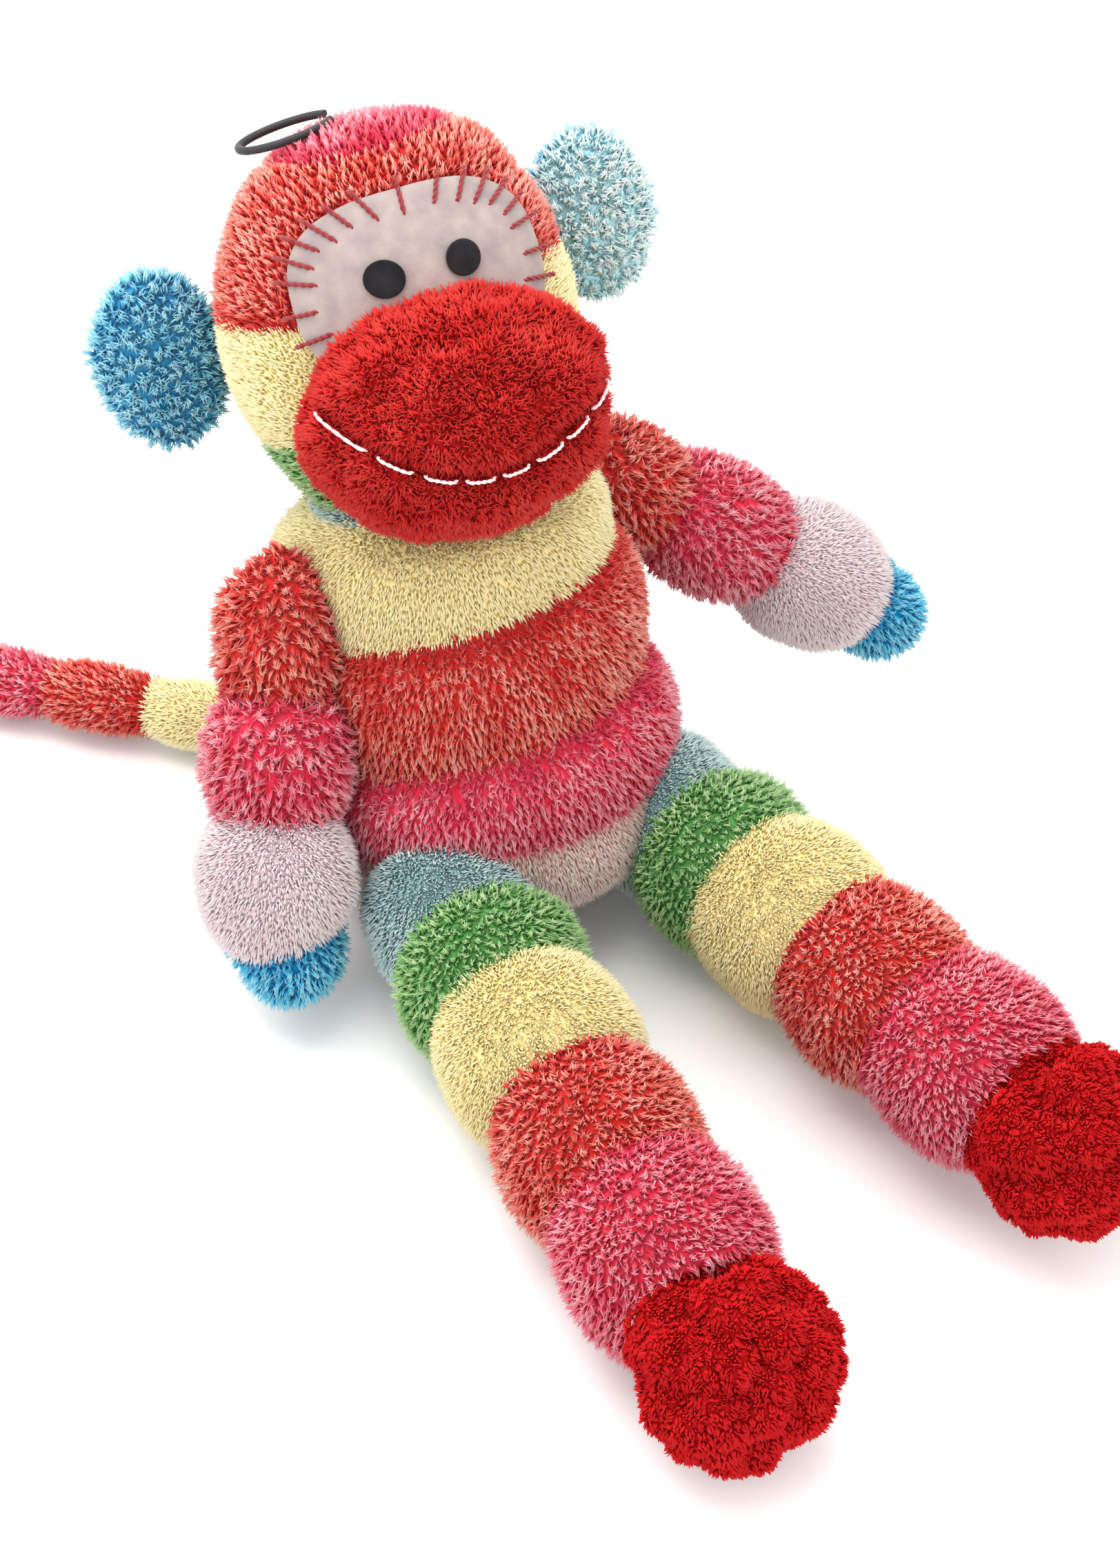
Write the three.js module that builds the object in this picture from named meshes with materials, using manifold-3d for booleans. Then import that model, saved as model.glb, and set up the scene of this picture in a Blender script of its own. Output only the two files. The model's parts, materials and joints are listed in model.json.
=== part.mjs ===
// A seated stuffed monkey, sewn from fleece bands in six colours over loose fibre stuffing.
// Millimetres. The toy is built with Y up, Z forward and X to its own left, and the outer
// group stands it on +Z, facing -Y, with the origin at the middle of the flat it sits on.
import * as THREE from 'three';
import { mergeVertices } from 'three/addons/utils/BufferGeometryUtils.js';
import Module from 'manifold-3d';

const wasm = await Module();
wasm.setup();

// ---- Driving dimensions ----
const CLEARANCE = 0.3; // between pieces that touch
const RUNNING = 0.6; // between the neck's dome and the socket it turns in
const SWIVEL = 1.4; // between a limb's dome and the socket it turns in
const WALL = 3; // fleece with its pile
const THREAD = 1.0; // stitching thread, across
const FELT = 1.2; // face and eye felt

const COLOURS = {
  pink: 0xe2557f,
  coral: 0xdf5350,
  yellow: 0xf2ecb4,
  green: 0x7cc67c,
  blue: 0x8cc4e6,
  lilac: 0xd9c9d8,
  tipBlue: 0x2aa5d8,
  earBlue: 0x74bfe6,
  red: 0xd0171c,
  felt: 0xdcd6de,
  black: 0x141414,
  redThread: 0xc01f28,
  whiteThread: 0xf4e4e4,
  fibre: 0xf3f1ec,
};

const torso = {
  seatZ: 20, // how far forward the axis meets the floor
  lean: 20.9, // degrees backward
  segments: 20,
  seams: [0, 36, 58.5, 91.5, 112], // seat, hip, belly and chest bands, along the axis
  radii: [30, 52, 47, 46, 38], // at those seams
  bulges: [50, 53.5, 50.5, 46.5], // of those bands
  pan: [[30, -12], [44, 2], [49, 14], [52, 26]], // the seat panel's outside, from below
  lining: [[28, -9], [45, 14]], // and its inside
};
const LIMB_REACH = 66; // how far a limb's pocket runs out of the torso

const head = {
  width: 92,
  depth: 82,
  height: 106,
  segments: 20,
  rise: 44, // from the neck joint to the middle of the head
  turn: -15.5, // degrees, towards its right
  pitch: 22, // degrees, face lifted
  roll: -7, // degrees, towards its right
  crownY: 43, // pink above here
  coralY: 10, // coral above here
  yellowY: -20, // yellow above here, green below
  chinY: -33, // where the green band ends
};

const neck = {
  offset: 3, // towards its left, from the torso's axis
  domeRadius: 24, // head's dome, at the neck joint
  bandRadius: 35.5,
  bandAbove: 3, // of the neck joint, at the rim
};

const muzzle = {
  width: 77,
  height: 60,
  depth: 35,
  y: -15,
  z: 38,
  tilt: 2,
  off: 4.6, // its back stands off the head, over the felt and its stitches
};
// The smile's height is a curve across the muzzle, all in shares of the muzzle's half sizes.
const smile = { reach: 0.9, middle: -0.25, bow: 0.6, skew: -0.2, points: 14 };
const ear = {
  width: 35,
  height: 46,
  thickness: 17,
  proud: 13, // how far the ear's middle stands out past the head's side
  y: { right: 2, left: 8 },
  z: -18,
  segments: 14,
};
const eye = { radius: 4.9, x: 9.4, y: 18 };
const face = { halfWidth: 29.5, top: 36, bottom: -6, shoulder: 2.6 };
const loop = {
  cord: 2,
  length: 23.5,
  width: 13,
  root: [-5.6, 54, -9.4], // from the middle of the head
  along: [-1, -0.12, -0.16],
  across: [0, 0.15, -1],
};

const leg = {
  hip: [32, 26, 32], // left hip joint
  splay: { right: -6.5, left: 4 }, // degrees from straight ahead, towards its left
  segments: 14,
  names: ['thigh_blue_band', 'thigh_green_band', 'knee_yellow_band', 'shin_coral_band',
    'ankle_pink_band', 'foot_red_cover'],
  colours: ['blue', 'green', 'yellow', 'coral', 'pink', 'red'],
  seams: [0, 24, 47, 77.5, 108.5, 142, 179],
  radii: [22, 22, 24, 21, 24, 20.5, 0],
  bulges: [24, 26, 26, 25.5, 25, 24],
  joints: [0, 1, 3], // seams that turn: hip, splay and knee
  grooves: [0, 9, 22], // half angle of the groove at each
  cores: [null, 'thigh_stuffing', 'shin_stuffing'], // the short root band is made filled
  sweep: { axis: [1, 0, 0], angles: [-6, 8, 24, 40] }, // at the hip, from rest
};

const arm = {
  shoulder: { right: [-46, 98, -15], left: [47, 97, -17] },
  aim: { right: [-0.34, -0.8, 0.5], left: [0.76, -0.57, 0.34] },
  segments: 12,
  names: ['shoulder_coral_band', 'forearm_pink_band', 'hand_lilac_band', 'hand_blue_tip'],
  colours: ['coral', 'pink', 'lilac', 'tipBlue'],
  seams: [0, 27.5, 60, 91, 111],
  radii: [12.5, 12.5, 14, 14.5, 0],
  bulges: [15.5, 17.5, 19.5, 14.5],
  joints: [0, 1, 2], // shoulder, upper arm and elbow
  grooves: [0, 24, 26],
  cores: [null, null, 'hand_stuffing'], // the two short bands are made filled
  sweep: {
    right: { axis: [0, 0, -1], angles: [-3, 25, 60] },
    left: { axis: [0, 0, 1], angles: [-26, 0, 36] },
  },
};

const tail = {
  root: [-11, 11.5, -34],
  aim: [-0.68, 0, -0.73],
  segments: 10,
  names: ['tail_green_band', 'tail_yellow_band', 'tail_coral_band', 'tail_pink_band',
    'tail_lilac_band', 'tail_blue_tip'],
  colours: ['green', 'yellow', 'coral', 'pink', 'lilac', 'tipBlue'],
  seams: [0, 34, 64, 94, 124, 154, 174],
  radii: [9, 9.5, 9.5, 8.5, 9.3, 9, 0],
  bulges: [10, 11, 11, 11, 10.6, 9],
  joints: [0, 3], // tail root and the middle of the tail
  grooves: [0, 24],
  cores: ['tail_root_stuffing', 'tail_end_stuffing'],
  sweep: { axis: [0, 1, 0], angles: [-30, 0, 30] },
};

// ---- Small helpers ----
const rad = THREE.MathUtils.degToRad;
const materials = {};
for (const [name, colour] of Object.entries(COLOURS)) {
  materials[name] = new THREE.MeshStandardMaterial({ color: colour, roughness: 0.95, metalness: 0 });
}

function meshOf(name, geometry, colour) {
  const mesh = new THREE.Mesh(geometry, materials[colour]);
  mesh.name = name;
  return mesh;
}

function lathe(points, segments) {
  const profile = points.map(([radius, along]) => new THREE.Vector2(Math.max(radius, 0), along));
  return new THREE.LatheGeometry(profile, segments, Math.PI / segments);
}

// Points on a circle about (0, centre), from one polar angle to another, measured from +Y.
function arc(centre, radius, from, to, steps) {
  const points = [];
  for (let i = 0; i <= steps; i += 1) {
    const angle = rad(from + (to - from) * i / steps);
    const across = Math.abs(Math.sin(angle)) < 1e-9 ? 0 : radius * Math.sin(angle);
    points.push([across, centre + radius * Math.cos(angle)]);
  }
  return points;
}

function solidOf(geometry, matrix = new THREE.Matrix4()) {
  const copy = geometry.clone().applyMatrix4(matrix);
  copy.deleteAttribute('normal');
  copy.deleteAttribute('uv');
  const merged = mergeVertices(copy, 1e-4);
  return new wasm.Manifold(new wasm.Mesh({
    numProp: 3,
    vertProperties: new Float32Array(merged.attributes.position.array),
    triVerts: new Uint32Array(merged.index.array),
  }));
}

function geometryOf(solid, matrix = new THREE.Matrix4()) {
  const { vertProperties, triVerts, numProp } = solid.getMesh();
  const positions = new Float32Array(vertProperties.length / numProp * 3);
  for (let i = 0; i < positions.length / 3; i += 1) {
    positions.set(vertProperties.subarray(i * numProp, i * numProp + 3), i * 3);
  }
  const geometry = new THREE.BufferGeometry();
  geometry.setAttribute('position', new THREE.BufferAttribute(positions, 3));
  geometry.setIndex(new THREE.BufferAttribute(new Uint32Array(triVerts), 1));
  return geometry.applyMatrix4(matrix);
}

// ---- Limbs: fleece bands in a row, in one or more rigid stretches with a core in each ----

// The outer edge beside a groove: halfway from the seam's radius to the band's bulge.
function shoulderRadius(limb, seam, band) {
  return limb.radii[seam] + 0.5 * Math.max(limb.bulges[band] - limb.radii[seam], 0);
}

// Points where a band leaves a turning seam: out along the groove's side. sign is +1 on the
// far side of the seam and -1 on the near side.
function grooveSide(limb, seam, band, sign, start) {
  const turn = limb.joints.indexOf(seam);
  const angle = rad(90 - sign * limb.grooves[turn]);
  const outer = shoulderRadius(limb, seam, band) / Math.sin(angle);
  return [start, outer].map((reach) => [
    reach * Math.sin(angle), limb.seams[seam] + reach * Math.cos(angle),
  ]);
}

// The fleece of a stretch stays this far from the axis inside, all along.
function cavityRadius(limb, first, last) {
  const seams = limb.radii.slice(first, last + 2).filter((radius) => radius > 0);
  return Math.min(...seams) - WALL;
}

function bulgePoints(limb, band, from, to) {
  const bulge = limb.bulges[band];
  return [0.25, 0.5, 0.75].map((share) => {
    const edge = from[0] + (to[0] - from[0]) * share;
    const swell = share === 0.5 ? 1 : 0.8;
    return [edge + (bulge - edge) * swell, from[1] + (to[1] - from[1]) * share];
  });
}

function bandProfile(limb, band, cavity) {
  const [start, end] = [limb.seams[band], limb.seams[band + 1]];
  const startTurn = limb.joints.indexOf(band);
  const endTurn = limb.joints.indexOf(band + 1);
  const isTip = limb.radii[band + 1] === 0;
  const before = [];
  const after = [];
  const inside = [];
  if (startTurn >= 0) {
    const dome = limb.radii[band];
    before.push(...arc(start, dome, 180, 90 - limb.grooves[startTurn], 4));
    if (band > 0) {
      before.push(grooveSide(limb, band, band, 1, dome)[1]);
    }
  } else {
    before.push([limb.radii[band], start + CLEARANCE / 2]);
  }
  if (endTurn >= 0) {
    const socket = limb.radii[band + 1] + SWIVEL;
    const [inner, outer] = grooveSide(limb, band + 1, band, -1, socket);
    after.push(outer, inner);
    after.push(...arc(end, socket, 90 + limb.grooves[endTurn], 180, 3).slice(1));
    if (startTurn >= 0) {
      return [...before, ...bulgePoints(limb, band, before.at(-1), outer), ...after];
    }
    const back = socket + WALL;
    const meet = 180 - THREE.MathUtils.radToDeg(Math.asin(Math.min(cavity / back, 1)));
    inside.push(...arc(end, back, 180, meet, 2));
  } else if (isTip) {
    const reach = end - start;
    const swell = limb.bulges[band];
    const middle = start + reach * 0.38;
    for (const angle of [25, 50, 72, 90]) {
      after.push([
        angle === 90 ? 0 : swell * Math.cos(rad(angle)),
        middle + (end - middle) * Math.sin(rad(angle)),
      ]);
    }
    inside.push([0, end - WALL]);
    inside.push([cavity * 0.8, middle + (end - WALL - middle) * 0.55]);
    inside.push([cavity, middle]);
  } else {
    after.push([limb.radii[band + 1], end - CLEARANCE / 2]);
    inside.push([cavity, end - CLEARANCE / 2]);
  }
  if (startTurn >= 0) {
    const hollow = limb.radii[band] - WALL;
    const meet = 180 - THREE.MathUtils.radToDeg(Math.asin(Math.min(cavity / hollow, 1)));
    inside.push(...arc(start, hollow, meet, 180, 2));
  } else {
    inside.push([cavity, start + CLEARANCE / 2]);
  }
  const swellTo = isTip ? [limb.bulges[band], start + (end - start) * 0.38] : after[0];
  const swelling = isTip
    ? [[(before.at(-1)[0] + swellTo[0] * 2) / 3, (before.at(-1)[1] + swellTo[1]) / 2], swellTo]
    : bulgePoints(limb, band, before.at(-1), swellTo);
  const profile = [...before, ...swelling, ...after, ...inside];
  if (profile[0][0] > 0 || profile.at(-1)[0] > 0) {
    profile.push([...profile[0]]);
  }
  return profile;
}

function coreProfile(limb, first, last, cavity) {
  const radius = cavity - CLEARANCE;
  const dome = limb.radii[first] - WALL - CLEARANCE;
  const domeMeet = 180 - THREE.MathUtils.radToDeg(Math.asin(Math.min(radius / dome, 1)));
  const points = arc(limb.seams[first], dome, 180, domeMeet, 2);
  const end = limb.seams[last + 1];
  if (limb.radii[last + 1] === 0) {
    const middle = limb.seams[last] + (end - limb.seams[last]) * 0.38;
    points.push([radius, middle - CLEARANCE]);
    points.push([radius * 0.8 - CLEARANCE, middle + (end - WALL - middle) * 0.55 - CLEARANCE]);
    points.push([0, end - WALL - 2 * CLEARANCE]);
  } else {
    const back = limb.radii[last + 1] + SWIVEL + WALL + CLEARANCE;
    const meet = 180 - THREE.MathUtils.radToDeg(Math.asin(Math.min(radius / back, 1)));
    points.push(...arc(end, back, meet, 180, 2));
  }
  return points;
}

function limbGroup(limb, side, position, aim) {
  const group = new THREE.Group();
  group.position.set(...position);
  const direction = new THREE.Vector3(...aim).normalize();
  group.quaternion.setFromUnitVectors(new THREE.Vector3(0, 1, 0), direction);
  const prefix = side ? `${side}_` : '';
  const starts = limb.joints;
  starts.forEach((first, index) => {
    const last = (starts[index + 1] ?? limb.names.length) - 1;
    const cavity = cavityRadius(limb, first, last);
    for (let band = first; band <= last; band += 1) {
      const shape = lathe(bandProfile(limb, band, cavity), limb.segments);
      group.add(meshOf(prefix + limb.names[band], shape, limb.colours[band]));
    }
    if (limb.cores[index]) {
      const core = lathe(coreProfile(limb, first, last, cavity), limb.segments);
      group.add(meshOf(prefix + limb.cores[index], core, 'fibre'));
    }
  });
  group.updateMatrixWorld(true);
  return group;
}

// The room a limb needs in the torso: its outline with a margin, at each of a few angles
// about an axis through its root.
function limbPocket(limb, group, sweep) {
  const dome = limb.radii[0] + RUNNING;
  const wide = Math.max(limb.bulges[0], limb.bulges[1]) + RUNNING;
  const profile = [
    ...arc(0, dome, 180, 90, 3),
    [limb.bulges[0] + RUNNING, limb.seams[1] * 0.3],
    [wide, limb.seams[1]],
    [wide, LIMB_REACH],
    [0, LIMB_REACH],
  ];
  const shape = lathe(profile, limb.segments);
  const axis = new THREE.Vector3(...sweep.axis);
  const parts = sweep.angles.map((angle) => {
    const turn = new THREE.Matrix4().makeRotationAxis(axis, rad(angle));
    const out = new THREE.Matrix4().setPosition(group.position);
    const back = out.clone().invert();
    return solidOf(shape, out.multiply(turn).multiply(back).multiply(group.matrixWorld));
  });
  return parts.reduce((all, part) => all.add(part));
}

// ---- The toy ----
const toy = new THREE.Group();

const legs = {};
for (const [side, sign] of [['right', -1], ['left', 1]]) {
  const hip = [leg.hip[0] * sign, leg.hip[1], leg.hip[2]];
  const splay = rad(leg.splay[side]);
  legs[side] = limbGroup(leg, side, hip, [Math.sin(splay), 0, Math.cos(splay)]);
  toy.add(legs[side]);
}

const arms = {};
for (const side of ['right', 'left']) {
  arms[side] = limbGroup(arm, side, arm.shoulder[side], arm.aim[side]);
  toy.add(arms[side]);
}

const tailGroup = limbGroup(tail, '', tail.root, tail.aim);
toy.add(tailGroup);

// Torso: four bands on a core, all cut by the floor and by the limbs' pockets.
const torsoFrame = new THREE.Matrix4().makeRotationX(rad(-torso.lean));
torsoFrame.setPosition(0, 0, torso.seatZ);

const neckSocket = neck.domeRadius + RUNNING + WALL + RUNNING;
const torsoTop = torso.seams.at(-1);

// A plain band's wall, turned: up its outside and down its inside.
function torsoBand(band) {
  const [low, high] = [torso.seams[band], torso.seams[band + 1]];
  const from = [torso.radii[band], low + CLEARANCE / 2];
  const to = [torso.radii[band + 1], high - CLEARANCE / 2];
  const outer = [from, ...bulgePoints(torso, band, from, to), to];
  const inner = [[to[0] - WALL, to[1]], [from[0] - WALL, from[1]]];
  return solidOf(lathe([...outer, ...inner, [...from]], torso.segments), torsoFrame);
}

// A block that takes away all below a height.
function floorCut(height) {
  const [halfSize, depth] = [200, 100];
  const box = new THREE.BoxGeometry(2 * halfSize, depth, 2 * halfSize);
  return solidOf(box, new THREE.Matrix4().makeTranslation(0, height - depth / 2, 0));
}

// The seat panel is a bowl with a flat floor, so it is a solid with its inside cut out.
function seatPanel() {
  const rim = torso.seams[1] - CLEARANCE / 2;
  const outside = [[0, torso.pan[0][1]], ...torso.pan, [torso.radii[1], rim], [0, rim]];
  const past = rim + 1; // the room runs out of the top
  const inside = [
    [0, torso.lining[0][1]], ...torso.lining, [torso.radii[1] - WALL, past], [0, past],
  ];
  const room = solidOf(lathe(inside, torso.segments), torsoFrame).subtract(floorCut(WALL));
  return solidOf(lathe(outside, torso.segments), torsoFrame).subtract(room);
}

const pockets = [
  ...Object.values(legs).map((group) => limbPocket(leg, group, leg.sweep)),
  ...Object.entries(arms).map(([side, group]) => limbPocket(arm, group, arm.sweep[side])),
  limbPocket(tail, tailGroup, tail.sweep),
];

// The stuffing keeps well back from the limbs, so one plain hollow at each is enough. It grows
// with the root band's thickness and length.
function coreHollow(limb, group, forward) {
  const radius = limb.bulges[0] + WALL + CLEARANCE + 0.2 * limb.seams[1];
  const ball = new THREE.SphereGeometry(radius, 12, 8);
  const place = new THREE.Matrix4().makeTranslation(0, forward * limb.seams[1], 0);
  return solidOf(ball, group.matrixWorld.clone().multiply(place));
}
const neckPlace = new THREE.Matrix4().makeTranslation(neck.offset, torsoTop, 0);
const neckFrame = torsoFrame.clone().multiply(neckPlace);
const neckPocket = solidOf(lathe([
  ...arc(0, neckSocket, 180, 90, 4),
  [neckSocket, 20],
  [0, 20],
], head.segments), neckFrame);
pockets.push(neckPocket);

// Cuts a solid, and keeps the one main body that is left.
function carve(solid, cutters) {
  const left = cutters.reduce((rest, cutter) => rest.subtract(cutter), solid);
  const bodies = left.decompose();
  return bodies.reduce((best, body) => (body.volume() > best.volume() ? body : best));
}

const torsoNames = ['seat_lilac_panel', 'hip_pink_band', 'belly_coral_band', 'chest_yellow_band'];
const torsoColours = ['lilac', 'pink', 'coral', 'yellow'];
torsoNames.forEach((name, band) => {
  const whole = band === 0 ? seatPanel() : torsoBand(band);
  const cut = carve(whole, [floorCut(0), ...pockets]);
  toy.add(meshOf(name, geometryOf(cut), torsoColours[band]));
});

// The stuffing fills the torso to a small gap under its fleece.
const coreWall = WALL + CLEARANCE;
const [panFoot, panSide] = torso.lining;
const coreFoot = panFoot[1] + CLEARANCE;
const torsoCore = [[0, coreFoot], [panFoot[0] - CLEARANCE, coreFoot], [panSide[0] - CLEARANCE, panSide[1]]];
torso.seams.slice(1).forEach((seam, i) => {
  const top = seam === torsoTop ? seam - 1 : seam;
  torsoCore.push([torso.radii[i + 1] - coreWall - 0.2, top]);
});
torsoCore.push([0, torsoTop - 1]);
const corePockets = [
  ...Object.values(legs).map((group) => coreHollow(leg, group, 0.4)),
  ...Object.values(arms).map((group) => coreHollow(arm, group, 0.3)),
  coreHollow(tail, tailGroup, 0.15),
  neckPocket,
];
const torsoStuffing = carve(
  solidOf(lathe(torsoCore, torso.segments), torsoFrame),
  [floorCut(coreWall), ...corePockets],
);
toy.add(meshOf('torso_stuffing', geometryOf(torsoStuffing), 'fibre'));

// Neck band: a bowl that turns in the torso, with a blue rim, and holds the head's dome.
const bowl = neck.domeRadius + RUNNING + WALL;
const neckProfile = [
  ...arc(0, bowl, 180, 90, 4),
  [bowl, RUNNING],
  [neck.bandRadius - 1, RUNNING],
  [neck.bandRadius, 0.5 * neck.bandAbove],
  [neck.bandRadius - 1, neck.bandAbove],
  ...arc(0, neck.domeRadius + RUNNING, 88, 180, 4),
];
const neckShape = lathe(neckProfile, head.segments).applyMatrix4(neckFrame);
toy.add(meshOf('neck_blue_band', neckShape, 'blue'));

// Head frame: pitched and turned at the neck joint.
const headTurn = new THREE.Euler(rad(-head.pitch), rad(head.turn), rad(-head.roll), 'YXZ');
const headGroup = new THREE.Group();
headGroup.position.setFromMatrixPosition(neckFrame);
headGroup.rotation.copy(headTurn);
toy.add(headGroup);
headGroup.updateMatrixWorld(true);

const deep = head.depth / head.width;
const halfWidth = head.width / 2;
const halfHeight = head.height / 2;
const headScale = new THREE.Matrix4().makeScale(1, 1, deep);
headScale.setPosition(0, head.rise, 0);

function headRadius(y, inset = 0) {
  const tall = halfHeight - inset;
  return Math.max((halfWidth - inset) * Math.sqrt(Math.max(1 - (y / tall) ** 2, 0)), 0);
}

function headBand(low, high, steps) {
  const outer = [];
  const inner = [];
  for (let i = 0; i <= steps; i += 1) {
    const y = low + (high - low) * i / steps;
    outer.push([headRadius(y), y]);
    inner.unshift([headRadius(y, WALL), y]);
  }
  return [...outer, ...inner, [...outer[0]]];
}

const halfGap = CLEARANCE / 2;
const crownProfile = [];
const crownInner = [];
for (const share of [0, 0.45, 0.8, 1]) {
  const y = head.crownY + halfGap + (halfHeight - head.crownY - halfGap) * share;
  const yIn = head.crownY + halfGap + (halfHeight - WALL - head.crownY - halfGap) * share;
  crownProfile.push([headRadius(y), y]);
  crownInner.unshift([headRadius(yIn, WALL), yIn]);
}
const headShapes = {
  head_pink_crown: [[...crownProfile, ...crownInner, [...crownProfile[0]]], 'pink'],
  head_coral_band: [headBand(head.coralY + halfGap, head.crownY - halfGap, 3), 'coral'],
  head_yellow_band: [headBand(head.yellowY + halfGap, head.coralY - halfGap, 3), 'yellow'],
};
for (const [name, [profile, colour]] of Object.entries(headShapes)) {
  const shape = lathe(profile, head.segments).applyMatrix4(headScale);
  headGroup.add(meshOf(name, shape, colour));
}

// The green band narrows to the neck and closes in the dome the head turns on.
const domeCentre = -head.rise;
const greenProfile = [
  ...arc(domeCentre, neck.domeRadius, 180, 62, 5),
  [headRadius(head.chinY), head.chinY],
  [headRadius(head.yellowY - halfGap), head.yellowY - halfGap],
  [headRadius(head.yellowY - halfGap, WALL), head.yellowY - halfGap],
  [headRadius(head.chinY, WALL) - 1, head.chinY + WALL + 1],
  ...arc(domeCentre, neck.domeRadius - WALL, 46, 180, 3),
];
const greenShape = lathe(greenProfile, head.segments).applyMatrix4(headScale);
headGroup.add(meshOf('head_green_band', greenShape, 'green'));

const inset = WALL + CLEARANCE;
const coreDome = neck.domeRadius - inset;
const slack = 0.6; // the stuffing's facets stay this much further in
const headCoreProfile = [...arc(domeCentre, coreDome - CLEARANCE, 180, 46, 3)];
headCoreProfile.push([headCoreProfile.at(-1)[0], head.chinY + WALL + 1.8]);
headCoreProfile.push([headRadius(head.chinY, WALL) - 2.4, head.chinY + WALL + 2.6]);
for (const y of [head.yellowY, head.coralY, head.crownY]) {
  headCoreProfile.push([headRadius(y, inset) - slack, y]);
}
headCoreProfile.push([0, halfHeight - inset - slack]);
const headCoreShape = lathe(headCoreProfile, head.segments).applyMatrix4(headScale);
headGroup.add(meshOf('head_stuffing', headCoreShape, 'fibre'));

// Front surface of the head, at a place across and up, stood off by a distance.
function onHead(x, y, off = 0) {
  const inside = 1 - (x / halfWidth) ** 2 - (y / halfHeight) ** 2;
  const z = deep * halfWidth * Math.sqrt(Math.max(inside, 0.02));
  const normal = new THREE.Vector3(x / halfWidth ** 2, y / halfHeight ** 2, z / (deep * halfWidth) ** 2).normalize();
  return new THREE.Vector3(x, y + head.rise, z).addScaledVector(normal, off);
}

// A closed sheet on the front of the head, inside an outline given as a function of angle.
function feltPatch(outline, centre, segments, rings, off, thickness) {
  const positions = [];
  const index = [];
  const layer = (lift) => {
    const first = positions.length / 3;
    positions.push(...onHead(centre[0], centre[1], lift).toArray());
    for (let ring = 1; ring <= rings; ring += 1) {
      for (let i = 0; i < segments; i += 1) {
        const [x, y] = outline(2 * Math.PI * i / segments);
        const share = ring / rings;
        const at = onHead(centre[0] + x * share, centre[1] + y * share, lift);
        positions.push(...at.toArray());
      }
    }
    return first;
  };
  const back = layer(off);
  const front = layer(off + thickness);
  const at = (first, ring, i) => (ring === 0 ? first : first + 1 + (ring - 1) * segments + i % segments);
  for (let i = 0; i < segments; i += 1) {
    index.push(front, at(front, 1, i), at(front, 1, i + 1));
    index.push(back, at(back, 1, i + 1), at(back, 1, i));
    for (let ring = 1; ring < rings; ring += 1) {
      const [p, q, r, s] = [at(front, ring, i), at(front, ring + 1, i),
        at(front, ring + 1, i + 1), at(front, ring, i + 1)];
      index.push(p, q, r, p, r, s);
      const [k, l, m, n] = [at(back, ring, i), at(back, ring + 1, i),
        at(back, ring + 1, i + 1), at(back, ring, i + 1)];
      index.push(k, m, l, k, n, m);
    }
    const [f0, f1] = [at(front, rings, i), at(front, rings, i + 1)];
    const [b0, b1] = [at(back, rings, i), at(back, rings, i + 1)];
    index.push(b0, b1, f1, b0, f1, f0);
  }
  const geometry = new THREE.BufferGeometry();
  geometry.setAttribute('position', new THREE.Float32BufferAttribute(positions, 3));
  geometry.setIndex(index);
  return geometry;
}

const faceMiddle = (face.top + face.bottom) / 2;
const faceHalf = (face.top - face.bottom) / 2;
const faceOutline = (angle) => {
  const [cos, sin] = [Math.cos(angle), Math.sin(angle)];
  const power = 2 / face.shoulder;
  return [
    face.halfWidth * Math.sign(cos) * Math.abs(cos) ** power,
    faceHalf * Math.sign(sin) * Math.abs(sin) ** power,
  ];
};
const faceLift = 0.9; // over the head's facets
const facePatch = feltPatch(faceOutline, [0, faceMiddle], 24, 3, faceLift, FELT);
headGroup.add(meshOf('face_felt_patch', facePatch, 'felt'));

const eyeOutline = (angle) => [eye.radius * Math.cos(angle), eye.radius * Math.sin(angle)];
const eyeLift = faceLift + FELT + 0.5;
for (const [side, sign] of [['right', -1], ['left', 1]]) {
  const disc = feltPatch(eyeOutline, [sign * eye.x, eye.y], 14, 1, eyeLift, FELT);
  headGroup.add(meshOf(`${side}_felt_eye`, disc, 'black'));
}

// A straight stitch as a thin bar between two points.
function bar(from, to, across) {
  const length = from.distanceTo(to);
  const box = new THREE.BoxGeometry(across, length, across);
  const turn = new THREE.Quaternion();
  turn.setFromUnitVectors(new THREE.Vector3(0, 1, 0), to.clone().sub(from).normalize());
  const middle = from.clone().add(to).multiplyScalar(0.5);
  const matrix = new THREE.Matrix4().compose(middle, turn, new THREE.Vector3(1, 1, 1));
  return solidOf(box, matrix);
}

// Blanket stitch: one thread round the patch's upper edge with a spoke at every stitch.
const stitches = 17;
const stitchFrom = -14; // degrees, at the patch's right side
const stitchTo = 194; // degrees, at its left side
const threadLift = faceLift + FELT + CLEARANCE + THREAD / 2;
let blanketStitch = null;
let previous = null;
for (let i = 0; i < stitches; i += 1) {
  const angle = rad(stitchFrom + (stitchTo - stitchFrom) * i / (stitches - 1));
  const [x, y] = faceOutline(angle);
  const [dx, dy] = [x / Math.hypot(x, y), y / Math.hypot(x, y)];
  const place = (reach) => onHead(x + dx * reach, faceMiddle + y + dy * reach, threadLift);
  const spoke = bar(place(-6), place(1.2), THREAD);
  blanketStitch = blanketStitch ? blanketStitch.add(spoke) : spoke;
  const knot = place(0.8);
  if (previous) {
    blanketStitch = blanketStitch.add(bar(previous, knot, THREAD));
  }
  previous = knot;
}
headGroup.add(meshOf('face_blanket_stitch', geometryOf(blanketStitch), 'redThread'));

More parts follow.
